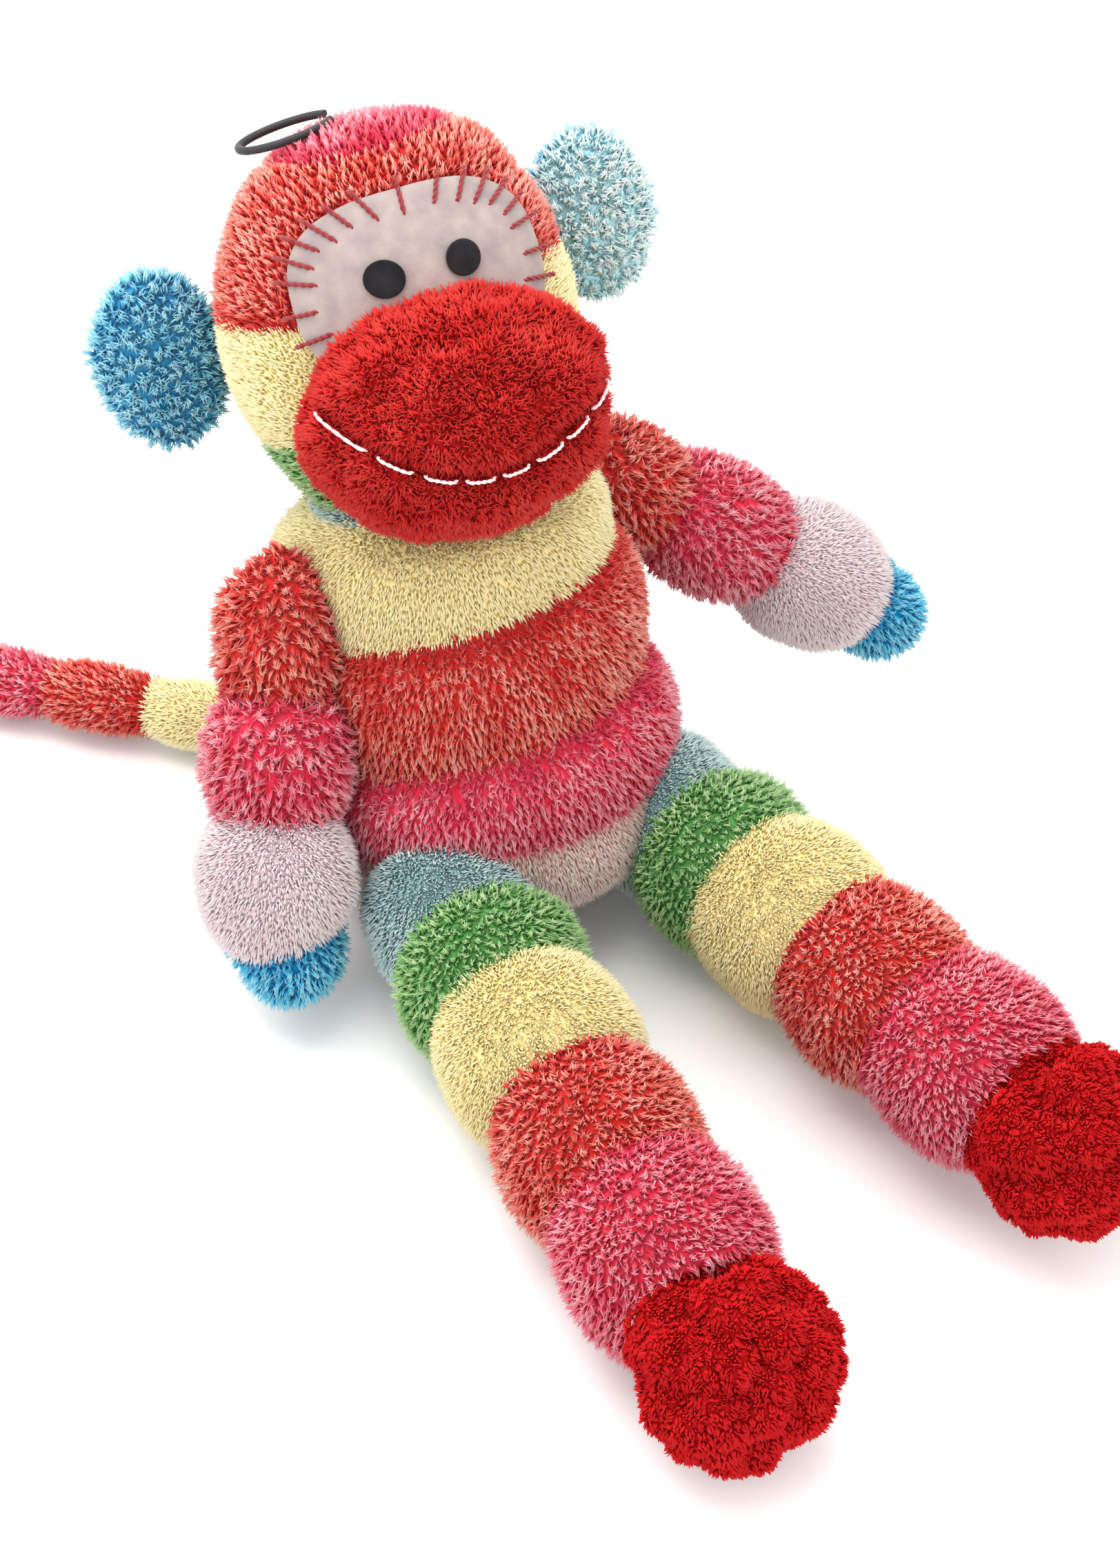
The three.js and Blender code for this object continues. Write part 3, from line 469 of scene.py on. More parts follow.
def plant(skin, kind, colour, comb, thick=2.2, lean=0.8, stray=0.25, sizes=(0.75, 1.2), seed=1):
    """comb is the way the pile lies, in the frame's axes. thick is in fibres on a square millimetre."""
    cell, gather = CLUMPS[kind]
    group = bpy.data.node_groups.new("pile", "GeometryNodeTree")
    group.interface.new_socket("Geometry", in_out="INPUT", socket_type="NodeSocketGeometry")
    group.interface.new_socket("Geometry", in_out="OUTPUT", socket_type="NodeSocketGeometry")
    link = group.links.new
    inside = add(group, "NodeGroupInput", -900, 0)
    spread = add(group, "GeometryNodeDistributePointsOnFaces", -700, 0, distribute_method="RANDOM")
    spread.inputs["Density"].default_value = thick / MM ** 2
    spread.inputs["Seed"].default_value = seed
    grows = add(group, "GeometryNodeInputNamedAttribute", -900, -200, data_type="BOOLEAN")
    grows.inputs["Name"].default_value = "outside"
    link(inside.outputs[0], spread.inputs["Mesh"])
    link(grows.outputs["Attribute"], spread.inputs["Selection"])
    place = add(group, "GeometryNodeInputPosition", -900, -700)
    cells = add(group, "ShaderNodeTexVoronoi", -700, -700)
    cells.inputs["Scale"].default_value = 1 / (cell * MM)
    link(place.outputs[0], cells.inputs["Vector"])
    alone = add(group, "FunctionNodeRandomValue", -700, -300, data_type="FLOAT")
    alone.inputs["Seed"].default_value = seed + 1
    shared = add(group, "ShaderNodeSeparateXYZ", -500, -700)
    link(cells.outputs["Color"], shared.inputs[0])
    shade = add(group, "ShaderNodeMix", -450, -150, data_type="FLOAT")
    shade.inputs[0].default_value = 0.6
    link(alone.outputs[1], shade.inputs[2])
    link(shared.outputs[0], shade.inputs[3])
    keep = add(group, "GeometryNodeStoreNamedAttribute", -300, 0, data_type="FLOAT", domain="POINT")
    keep.inputs["Name"].default_value = "shade"
    link(spread.outputs["Points"], keep.inputs["Geometry"])
    link(shade.outputs[0], keep.inputs["Value"])
    inward = add(group, "ShaderNodeVectorMath", -500, -900, operation="SUBTRACT")
    link(cells.outputs["Position"], inward.inputs[0])
    link(place.outputs[0], inward.inputs[1])
    pull = add(group, "ShaderNodeVectorMath", -350, -900, operation="SCALE")
    pull.inputs["Scale"].default_value = gather / (cell * MM)
    link(inward.outputs[0], pull.inputs[0])
    astray = add(group, "FunctionNodeRandomValue", -700, -500, data_type="FLOAT_VECTOR")
    astray.inputs["Min"].default_value = (-stray, -stray, -stray)
    astray.inputs["Max"].default_value = (stray, stray, stray)
    astray.inputs["Seed"].default_value = seed + 2
    lying = Vector(comb).normalized() * lean if Vector(comb).length > 0 else Vector((0, 0, 0))
    way = add(group, "ShaderNodeVectorMath", -450, -400, operation="ADD")
    way.inputs[1].default_value = lying
    link(spread.outputs["Normal"], way.inputs[0])
    for extra in (astray.outputs[0], pull.outputs[0]):
        more = add(group, "ShaderNodeVectorMath", -300, -400, operation="ADD")
        link(way.outputs[0], more.inputs[0])
        link(extra, more.inputs[1])
        way = more
    stand = add(group, "FunctionNodeAlignRotationToVector", -150, -300, axis="Z")
    link(way.outputs[0], stand.inputs["Vector"])
    size = add(group, "FunctionNodeRandomValue", -150, -700, data_type="FLOAT")
    size.inputs[2].default_value, size.inputs[3].default_value = sizes
    size.inputs["Seed"].default_value = seed + 3
    source = add(group, "GeometryNodeObjectInfo", -150, 200)
    source.inputs["Object"].default_value = FIBRES[kind]
    copies = add(group, "GeometryNodeInstanceOnPoints", 150, 0)
    link(keep.outputs["Geometry"], copies.inputs["Points"])
    link(source.outputs["Geometry"], copies.inputs["Instance"])
    link(stand.outputs[0], copies.inputs["Rotation"])
    link(size.outputs[1], copies.inputs["Scale"])
    real = add(group, "GeometryNodeRealizeInstances", 300, 0)
    link(copies.outputs[0], real.inputs[0])
    both = add(group, "GeometryNodeJoinGeometry", 450, 0)
    link(real.outputs[0], both.inputs[0])
    link(inside.outputs[0], both.inputs[0])
    dye = add(group, "GeometryNodeSetMaterial", 600, 0)
    dye.inputs["Material"].default_value = FLEECE[colour]
    link(both.outputs[0], dye.inputs["Geometry"])
    out = add(group, "NodeGroupOutput", 750, 0)
    link(dye.outputs[0], out.inputs[0])
    smooth(skin)
    skin.data.materials.clear()
    pile = skin.modifiers.new("pile", "NODES")
    pile.node_group = group
    finish_modifiers(skin)
    bpy.data.node_groups.remove(group)
    points = coords(skin)
    below = np.minimum(points[:, 2] - PRESSED * MM, 0)
    points[:, 2] -= below * (1 - PRESSED_TO)
    move_points(skin, points)
    return skin


face_counts = {}


def record_piece(piece, nodes):
    """Hides the nodes that a padded piece stands for and notes its number of faces."""
    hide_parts(*nodes)
    face_counts[piece.name] = len(piece.data.polygons)
    print(piece.name, len(piece.data.polygons), "faces")


# %% [markdown]
# ## The body
# The body is one egg-shaped bag of four bands that leans back on its seat. Its pile is combed down. The
# shape is turned in its own frame, with Z along its axis, and stood in place after it is cut.

# %% Body
TORSO_LEAN = 20.9
PILE = 3.1
torso_lean = Euler((math.radians(-TORSO_LEAN), 0, 0)).to_matrix().to_4x4()
torso_frame = Matrix.Translation(Vector((0, -20, 0)) * MM) @ torso_lean
torso_seams = [0, 31, 58.5, 91.5, 112]
torso_outline = [(0, 7.5), (24, 7.4), (40, 8), (45, 13), (47.5, 20), (48.2, 26), (47.8, 31)]
for low, high, start, end, bulge in (
    (31, 58.5, 51, 47, 54.4), (58.5, 91.5, 47, 45.5, 51.2), (91.5, 112, 45.5, 36, 46.5),
):
    for step in range(1, 8):
        t = step / 7
        flat = start + (end - start) * t
        swell = (bulge - flat) * (1 - abs(2 * t - 1) ** 3)
        torso_outline.append((flat + swell - PILE, low + (high - low) * t))
torso_outline += [(26, 114.5), (0, 115)]
torso = stuff(turned("torso", torso_outline, 56), torso_seams, voxel=4.0, most=1.8, uneven=1.0, grain=30)


def tilt_seams(band):
    """The belly's seams aren't quite level: they drop towards its right side."""
    points = coords(band)
    share = np.clip((points[:, 2] / MM - 34) / 20, 0, 1) * np.clip((112 - points[:, 2] / MM) / 14, 0, 1)
    points[:, 2] += (0.085 * points[:, 0] - 1.2 * MM) * share
    move_points(band, points)


DOWN = -(torso_frame.to_3x3() @ Vector((0, 0, 1)))
# The last column is the seam along which painted shade darkens the band's fleece.
BODY_BANDS = (
    ("seat_lilac", "seat_lilac_panel", None, 31, "seat", "soft", 31),
    ("hip_pink", "hip_pink_band", 31, 58.5, "pink", "combed", 58.5),
    ("belly_coral", "belly_coral_band", 58.5, 91.5, "coral", "combed", 91.5),
    ("chest_yellow", "chest_yellow_band", 91.5, None, "yellow", "soft", None),
)
for i, (name, node, low, high, colour, kind, shaded_seam_at) in enumerate(BODY_BANDS):
    band = cut_band(torso, name, low, high, shaded_seam_at)
    tilt_seams(band)
    settle(band, torso_frame)
    points = coords(band)
    points[:, 2] = np.maximum(points[:, 2], 1.2 * MM)
    move_points(band, points)
    plant(band, kind, colour, DOWN, seed=10 * i + 1)
    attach(band, "torso")
    record_piece(band, [node] + (["torso_stuffing"] if i == 0 else []))
bpy.data.objects.remove(torso)


# %% [markdown]
# ## Legs, arms and tail
# A limb is a row of bands along one line, so one function makes them all. It turns the whole limb,
# stuffs it, cuts it at the seams and plants each band. Where a seam is also a joint, the bands on either
# side are left unattached to a body, and a band between two joints is cut in two at its middle.

# %% Limb function
def curl_end(piece, start, reach, angle, towards):
    """Bends what lies past start, over a reach, by an angle, towards a direction in the limb's axes."""
    points = coords(piece)
    radius = reach * MM / angle
    past = np.clip(points[:, 2] - start * MM, 0, reach * MM)
    beyond = np.clip(points[:, 2] - (start + reach) * MM, 0, None)
    side = points @ np.array(towards)
    theta = past / radius
    shift = radius - (radius - side) * np.cos(theta) + beyond * np.sin(theta) - side
    bent = start * MM + (radius - side) * np.sin(theta) + beyond * np.cos(theta)
    points[:, 2] = np.where(past > 0, bent, points[:, 2])
    move_points(piece, points + shift[:, None] * np.array(towards) * (past > 0)[:, None])


def lumps(skin, beyond, cell, height):
    """Pushes a skin out in round lumps, past a place along it, as curled wool stands."""
    for vertex in skin.data.vertices:
        if vertex.co.z > beyond * MM:
            near = noise.voronoi(vertex.co / (cell * MM))[0][0]
            vertex.co += vertex.normal * height * MM * (1 - 3.2 * near ** 2)


def limb(label, place, seams, radii, bulges, bands, under, lean, joints, root_reach=9, seed=100, voxel=3.4,
         after_stuffing=None, after_cut=None):
    """bands: (piece, nodes, colour, fibre, body).
    joints: (seam, joint's place along the limb, body before, body after, reach)."""
    whole = turned(label, banded_outline(seams, radii, bulges, under, root_reach))
    stuff(whole, seams[1:-1], voxel=voxel, most=1.2, uneven=0.8, grain=18)
    if after_stuffing:
        after_stuffing(whole)
    line = place.to_3x3() @ Vector((0, 0, 1))
    for i, (name, nodes, colour, kind, body) in enumerate(bands):
        low = seams[i] if i > 0 else None
        high = seams[i + 1] if i < len(bands) - 1 else None
        turning = [j for j in joints if j[0] in (seams[i], seams[i + 1])]
        parts = [(name, low, high, turning[:1])]
        if len(turning) == 2:
            middle = (low + high) / 2
            parts = [
                (name + "_upper", low, middle, turning[:1]),
                (name + "_lower", middle, high, turning[1:]),
            ]
        for share, (part, start, end, bends) in enumerate(parts):
            # Painted shade, 4 mm wide, darkens each band's first seam, except on the first band and the
            # second half of a band cut in two.
            piece = cut_band(whole, part, start, end, seams[i] if i > 0 and share == 0 else None, 4)
            if after_cut:
                after_cut(piece)
            settle(piece, place)
            plant(piece, kind, colour, line, lean=lean, seed=seed + 10 * i + share)
            if bends:
                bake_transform(piece)
            else:
                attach(piece, body)
            record_piece(piece, nodes)
    bpy.data.objects.remove(whole)


# %% [markdown]
# ## Legs
# Each leg is six bands, from a blue root to a foot of curled red pile. The foot could be a ball of small
# spheres, but then it would never meet the ankle's seam. It is the end of the same skin, pushed out in
# round lumps before it is cut. Neither leg lies quite straight, so each has a small turn of its own.

# %% Legs
LEG_SEAMS = [0, 24, 47, 77.5, 108.5, 142, 179]
LEG_TURN = {"right": (0.0, -1.2), "left": (2.4, 0.8)}
LEG_STRETCH = {"right": 1.01, "left": 0.985}
for side, seed in (("right", 200), ("left", 300)):
    root = joint[f"{side}_hip_swing"]
    lift, out = (math.radians(v) for v in LEG_TURN[side])
    line = Euler((-lift, 0, out)).to_matrix() @ (joint[f"{side}_knee_bend"] - root)
    seams = [round(v * LEG_STRETCH[side], 1) for v in LEG_SEAMS]
    thigh, shin, hip = f"{side}_thigh", f"{side}_shin", f"{side}_hip"
    limb(
        f"{side}_leg", frame_along(root, line), seams,
        [21, 21.5, 22.5, 21.5, 22.5, 20.5, 0], [24, 26.2, 26.8, 26.2, 26.2, 25.4],
        [
            (f"{side}_thigh_blue", [f"{side}_thigh_blue_band"], "blue", "soft", hip),
            (f"{side}_thigh_green", [f"{side}_thigh_green_band"], "green", "combed", thigh),
            (
                f"{side}_knee_yellow", [f"{side}_knee_yellow_band", f"{side}_thigh_stuffing"],
                "yellow", "soft", thigh,
            ),
            (f"{side}_shin_coral", [f"{side}_shin_coral_band"], "coral", "combed", shin),
            (
                f"{side}_ankle_pink", [f"{side}_ankle_pink_band", f"{side}_shin_stuffing"],
                "pink", "combed", shin,
            ),
            (f"{side}_foot_red", [f"{side}_foot_red_cover"], "foot", "curl", shin),
        ],
        PILE, 0.6, [(seams[1], 24, hip, thigh, 10), (seams[3], 77.5, thigh, shin, 13)],
        root_reach=12, seed=seed,
        after_stuffing=lambda skin, foot=seams[5]: lumps(skin, foot + 1, 9, 2.4),
    )

# %% [markdown]
# ## Arms
# The arms are shaggier than the legs, so they get longer fibres in larger locks. The right hand tucks
# its end under. A bend needs rings of vertices across it, and the stuffed skin has them, so the bands
# are bent after they are cut.

# %% Arms
ARM_SEAMS = {"right": [0, 27.5, 57.5, 87.5, 106], "left": [0, 24, 59, 95, 118]}
# The right hand curls in past a place along the arm, over a reach, by an angle in radians.
CURL_START, CURL_REACH, HAND_CURL = 70, 34, 0.75
for side, seed in (("right", 400), ("left", 500)):
    root = joint[f"{side}_shoulder_lift"]
    line = joint[f"{side}_elbow_bend"] - root
    seams = ARM_SEAMS[side]
    place = frame_along(root, line)
    inward = place.to_3x3().inverted() @ Vector((1, 0.25, 0))
    inward = Vector((inward.x, inward.y, 0)).normalized()
    shoulder, forearm, hand = f"{side}_shoulder", f"{side}_forearm", f"{side}_hand"
    curl = (lambda piece, to=inward: curl_end(piece, CURL_START, CURL_REACH, HAND_CURL, to))
    limb(
        f"{side}_arm", place, seams, [14.5, 15, 16, 15.5, 0], [17.8, 20.4, 22, 15.5],
        [
            (f"{side}_shoulder_coral", [f"{side}_shoulder_coral_band"], "coral", "chunky", shoulder),
            (f"{side}_forearm_pink", [f"{side}_forearm_pink_band"], "pink", "chunky", forearm),
            (
                f"{side}_hand_lilac", [f"{side}_hand_lilac_band", f"{side}_hand_stuffing"],
                "lilac", "soft", hand,
            ),
            (f"{side}_hand_blue", [f"{side}_hand_blue_tip"], "tip_blue", "combed", hand),
        ],
        PILE, 0.55, [(seams[1], 27.5, shoulder, forearm, 9), (seams[2], 60, forearm, hand, 11)],
        root_reach=10, seed=seed, voxel=3.0,
        after_cut=curl if side == "right" else None,
    )

# %% [markdown]
# ## Tail
# The tail is a thin limb with one seam that curls. The same function makes it, with finer squares.

# %% Tail
TAIL_SEAMS = [0, 34, 64, 94, 124, 154, 174]
root = joint["tail_root_swing"]
limb(
    "tail", frame_along(root, joint["tail_curl"] - root), TAIL_SEAMS, [9.3, 9.6, 9.6, 9, 9.3, 9, 0],
    [10.6, 11.4, 11.4, 11.4, 11, 9.8],
    [
        ("tail_green", ["tail_green_band"], "green", "combed", "tail_root"),
        ("tail_yellow", ["tail_yellow_band", "tail_root_stuffing"], "yellow", "soft", "tail_root"),
        ("tail_coral", ["tail_coral_band"], "coral", "combed", "tail_root"),
        ("tail_pink", ["tail_pink_band"], "pink", "combed", "tail_end"),
        ("tail_lilac", ["tail_lilac_band", "tail_end_stuffing"], "lilac", "soft", "tail_end"),
        ("tail_blue", ["tail_blue_tip"], "tip_blue", "combed", "tail_end"),
    ],
    2.8, 0.8, [(94, 94, "tail_root", "tail_end", 10)], root_reach=4, seed=600, voxel=2.6,
)
print("pieces so far", len(face_counts))

# %% [markdown]
# ## The head
# The head is an egg on the neck joint, turned a little and tipped back. Its bands are level in its own
# frame. The pile is combed up, from the cheeks to the crown. The seams under the coral band and the
# pink crown are darkened with painted shade.

# %% Head
HEAD_TURN, HEAD_PITCH, HEAD_ROLL = math.radians(-15.5), math.radians(-22), math.radians(7)
HALF_WIDTH, HALF_HEIGHT, HALF_DEPTH, HEAD_RISE = 46, 53, 41, 44
upright = Matrix(((1, 0, 0, 0), (0, 0, -1, 0), (0, 1, 0, 0), (0, 0, 0, 1)))
head_frame = Matrix.Translation(joint["neck_turn"]) @ upright
for angle, axis in ((HEAD_TURN, "Y"), (HEAD_PITCH, "X"), (HEAD_ROLL, "Z")):
    head_frame = head_frame @ Matrix.Rotation(angle, 4, axis)
# In the head's own frame X is its left, Y is up and Z is forward, from the middle of the head.
head_frame = head_frame @ Matrix.Translation((0, HEAD_RISE * MM, 0))
lathe_to_head = Matrix(((1, 0, 0, 0), (0, 0, 1, 0), (0, -1, 0, 0), (0, 0, 0, 1)))
HEAD_SEAMS = [43, 10, -20]
CROWN_HEIGHT = 51.5
HEAD_UP = head_frame.to_3x3() @ Vector((0, 1, 0))


def head_width(y):
    """Half the head's width at a height, pinched a little at the seams."""
    pinch = sum(1.7 * math.exp(-((y - s) / 2.4) ** 2) for s in HEAD_SEAMS)
    gather = 1.3 * math.exp(-((y - 37) / 2.6) ** 2) - 1.1 * math.exp(-((y - 31.5) / 2) ** 2)
    egg = (HALF_WIDTH - 0.6) * math.sqrt(max(1 - (y / CROWN_HEIGHT) ** 2, 0))
    return egg - PILE - pinch + gather + 0.8


def covered(spot):
    """True under the felt patch or the muzzle, where no pile is wanted. spot is in the lathe's axes."""
    x, y, ahead = spot.x / MM, spot.z / MM, -spot.y / MM
    felt_reach = abs(x / 29.5) ** 2.6 + abs((y - 15) / 21) ** 2.6
    muzzle_reach = (x / 38.5) ** 2 + ((y + 15) / 30) ** 2
    return ahead > 8 and (felt_reach < 0.86 or muzzle_reach < 0.7)


head_outline = [(0, -48), (22, -47), (28, -42), (31, -37)]
head_outline += [(head_width(y), y) for y in range(-33, 46, 2)]
head_outline += [(8, 48), (0, 48.6)]
head = turned("head", head_outline, 56)
settle(head, Matrix.Diagonal((1, (HALF_DEPTH - PILE) / (HALF_WIDTH - PILE), 1, 1)))
stuff(head, HEAD_SEAMS, voxel=4.0, most=1.2, uneven=0.8, grain=26)
# The last column is the seam along which painted shade darkens the band's fleece.
for i, (name, nodes, low, high, colour, kind, shaded_seam_at) in enumerate((
    ("crown_pink", ["head_pink_crown", "head_stuffing"], 43, None, "pink", "combed", 43),
    ("forehead_coral", ["head_coral_band"], 10, 43, "coral", "combed", 10),
    ("cheek_yellow", ["head_yellow_band"], -20, 10, "yellow", "soft", None),
    ("jaw_green", ["head_green_band"], None, -20, "green", "combed", None),
)):
    band = cut_band(head, name, low, high, shaded_seam_at)
    grown = [f.value for f in band.data.attributes["outside"].data]
    for face in band.data.polygons:
        if covered(face.center):
            grown[face.index] = False
    band.data.attributes["outside"].data.foreach_set("value", grown)
    settle(band, head_frame @ lathe_to_head)
    plant(band, kind, colour, HEAD_UP, lean=0.7, seed=700 + 10 * i)
    if name == "jaw_green":
        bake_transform(band)
    else:
        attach(band, "head")
    record_piece(band, nodes)
bpy.data.objects.remove(head)

# %% [markdown]
# ## Neck band
# A flat ring of fleece closes the body under the head. A torus would leave a hole in its middle, so an
# outline is turned instead, and only its rim grows pile.

# %% Neck band
neck_frame = torso_frame @ Matrix.Translation(Vector((3, 0, 112)) * MM)
COLLAR_HIDDEN = 24  # nearer the axis than this, head and chest cover the collar, so no pile grows
COLLAR_OUTLINE = [(0, -4), (27, -4), (31, -2), (32.5, 1), (31, 4), (27, 5.5), (0, 6)]
collar = stuff(turned("collar", COLLAR_OUTLINE), [], voxel=3.0, most=0.8, uneven=0.4)
collar = cut_band(collar, "neck_blue", None, None)
rim = [math.hypot(f.center.x, f.center.y) > COLLAR_HIDDEN * MM for f in collar.data.polygons]
collar.data.attributes["outside"].data.foreach_set("value", rim)
settle(collar, neck_frame)
plant(collar, "soft", "blue", DOWN, lean=0.4, seed=760)
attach(collar, "neck")
record_piece(collar, ["neck_blue_band"])
bpy.data.objects.remove(bpy.data.objects["collar"])


# %% [markdown]
# ## The muzzle
# The muzzle is a big padded dome in matted red wool. A sphere is flattened, stuffed like the rest, and
# drawn in along the mouth, where a row of stitches pulls a crease, and painted shade darkens the
# crease. Its pile has no comb: wool mats.

# %% Muzzle
MUZZLE_WIDTH, MUZZLE_HEIGHT, MUZZLE_DEPTH = 77, 60, 35
MUZZLE_MIDDLE = Vector((0, -15, 38))
MUZZLE_TILT = math.radians(2)
muzzle_frame = head_frame @ Matrix.Translation(MUZZLE_MIDDLE * MM) @ Matrix.Rotation(MUZZLE_TILT, 4, "X")


def smile_height(across):
    """How high the mouth runs, as a share of half the muzzle's height."""
    return -0.25 + 0.6 * across ** 2 - 0.2 * across ** 3


WOOL = 2.4
bpy.ops.object.select_all(action="DESELECT")
bpy.ops.mesh.primitive_uv_sphere_add(segments=48, ring_count=28, radius=1)
muzzle = bpy.context.object
muzzle.name = "muzzle_red"
half = Vector((MUZZLE_WIDTH / 2 - WOOL, MUZZLE_HEIGHT / 2 - WOOL, MUZZLE_DEPTH - WOOL)) * MM
settle(muzzle, Matrix.Diagonal((*half, 1)))
stuff(muzzle, [], voxel=3.0, most=1.0, uneven=1.5, grain=10)
lumps(muzzle, -99, 11, 0.9)
points = coords(muzzle)
scaled = points / np.array(half)
below = scaled[:, 1] - smile_height(scaled[:, 0])
crease = np.exp(-(below / 0.1) ** 2) * np.clip(scaled[:, 2] * 3, 0, 1)
snout = np.clip(below * 4, 0, 1) * np.clip(scaled[:, 2] * 1.4, 0, 1)
points *= (1 - 0.1 * crease + 0.05 * snout)[:, None]
points[:, 2] = np.maximum(points[:, 2], -8 * MM)
move_points(muzzle, points)
facing = [f.center.z > -7 * MM for f in muzzle.data.polygons]
muzzle.data.attributes.new("outside", "BOOLEAN", "FACE").data.foreach_set("value", facing)
# Painted shade: the edge value darkens the wool along the mouth's crease.
muzzle.data.attributes.new("edge", "FLOAT", "POINT").data.foreach_set("value", crease * 0.8)
settle(muzzle, muzzle_frame)
plant(muzzle, "wool", "muzzle", (0, 0, 0), thick=2.8, stray=0.75, sizes=(0.7, 1.25), seed=800)
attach(muzzle, "head")
record_piece(muzzle, ["muzzle_red_cover", "muzzle_stuffing"])

# %% [markdown]
# ## Ears
# Each ear is a flat round pad of two panels, front and back, with the deepest pile on the toy. It is a
# squashed sphere, stuffed, and cut at its rim, so each panel stays its own piece.

# %% Ears
EAR_WIDTH, EAR_HEIGHT, EAR_THICKNESS = 38.5, 49, 19
EAR_HEIGHT_AT = {"right": 2, "left": 8}
EAR_OUT = {"right": 57, "left": 58.5}
for side, sign, colour in (("right", -1, "ear_blue"), ("left", 1, "ear_pale")):
    bpy.ops.object.select_all(action="DESELECT")
    bpy.ops.mesh.primitive_uv_sphere_add(segments=32, ring_count=20, radius=1)
    ear = bpy.context.object
    half = Vector((EAR_WIDTH / 2 - 3.2, EAR_HEIGHT / 2 - 3.2, EAR_THICKNESS / 2 - 2.2)) * MM
    settle(ear, Matrix.Diagonal((*half, 1)))
    stuff(ear, [0], voxel=3.0, most=1.0, uneven=0.9, grain=14)
    ear_middle = Vector((sign * EAR_OUT[side], EAR_HEIGHT_AT[side], -18))
    ear_frame = head_frame @ Matrix.Translation(ear_middle * MM)
    for panel, low, high, shade in (("front", 0, None, colour), ("back", None, 0, "ear_blue")):
        piece = cut_band(ear, f"{side}_ear_{panel}", low, high)
        settle(piece, ear_frame)
        seed = 900 + 20 * (sign + 1) + (low is None)
        plant(piece, "chunky", shade, HEAD_UP, lean=0.3, stray=0.5, seed=seed)
        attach(piece, f"{side}_ear")
        record_piece(piece, [f"{side}_ear_{panel}_panel"])
    bpy.data.objects.remove(ear)

# %% [markdown]
# ## Felt
# Felt is pressed fibre: flat, a little cloudy, with a soft edge. The face patch is a disc whose outline
# is pulled to a rounded square and laid on the front of the head, then given its thickness.

# %% Felt material and patches
def felt(name, dark, light, bump=0.25):
    made = bpy.data.materials.new(name)
    made.use_nodes = True
    tree = made.node_tree
    shader = tree.nodes["Principled BSDF"]
    shader.inputs["Roughness"].default_value = 0.95
    shader.inputs["Specular IOR Level"].default_value = 0.15
    shader.inputs["Sheen Weight"].default_value = 0.15
    place = add(tree, "ShaderNodeTexCoord", -900, 0).outputs["Object"]
    cloud = add(tree, "ShaderNodeTexNoise", -700, 100)
    cloud.inputs["Scale"].default_value = 210
    cloud.inputs["Detail"].default_value = 6
    fibre = add(tree, "ShaderNodeTexNoise", -700, -200)
    fibre.inputs["Scale"].default_value = 1500
    fibre.inputs["Detail"].default_value = 4
    tree.links.new(place, cloud.inputs["Vector"])
    tree.links.new(place, fibre.inputs["Vector"])
    ramp = add(tree, "ShaderNodeValToRGB", -450, 100)
    ramp.color_ramp.elements[0].position = 0.3
    ramp.color_ramp.elements[1].position = 0.7
    ramp.color_ramp.elements[0].color = rgb(*dark)
    ramp.color_ramp.elements[1].color = rgb(*light)
    height = add(tree, "ShaderNodeBump", -300, -200)
    height.inputs["Strength"].default_value = bump
    height.inputs["Distance"].default_value = 0.0004
    tree.links.new(cloud.outputs["Fac"], ramp.inputs["Fac"])
    tree.links.new(ramp.outputs["Color"], shader.inputs["Base Color"])
    tree.links.new(fibre.outputs["Fac"], height.inputs["Height"])
    tree.links.new(height.outputs["Normal"], shader.inputs["Normal"])
    return made


def on_head(x, y, off):
    """A point on the front of the head, in its own frame, in millimetres, stood off along the normal."""
    inside = max(1 - (x / HALF_WIDTH) ** 2 - (y / HALF_HEIGHT) ** 2, 0.02)
    z = HALF_DEPTH * math.sqrt(inside)
    normal = Vector((x / HALF_WIDTH ** 2, y / HALF_HEIGHT ** 2, z / HALF_DEPTH ** 2)).normalized()
    return Vector((x, y, z)) + normal * off


FACE_HALF_WIDTH, FACE_HALF_HEIGHT, FACE_MIDDLE, FACE_POWER = 29.5, 21, 15, 2 / 2.6


def face_outline(angle):
    cos, sin = math.cos(angle), math.sin(angle)
    x = FACE_HALF_WIDTH * math.copysign(abs(cos) ** FACE_POWER, cos)
    return x, FACE_HALF_HEIGHT * math.copysign(abs(sin) ** FACE_POWER, sin)


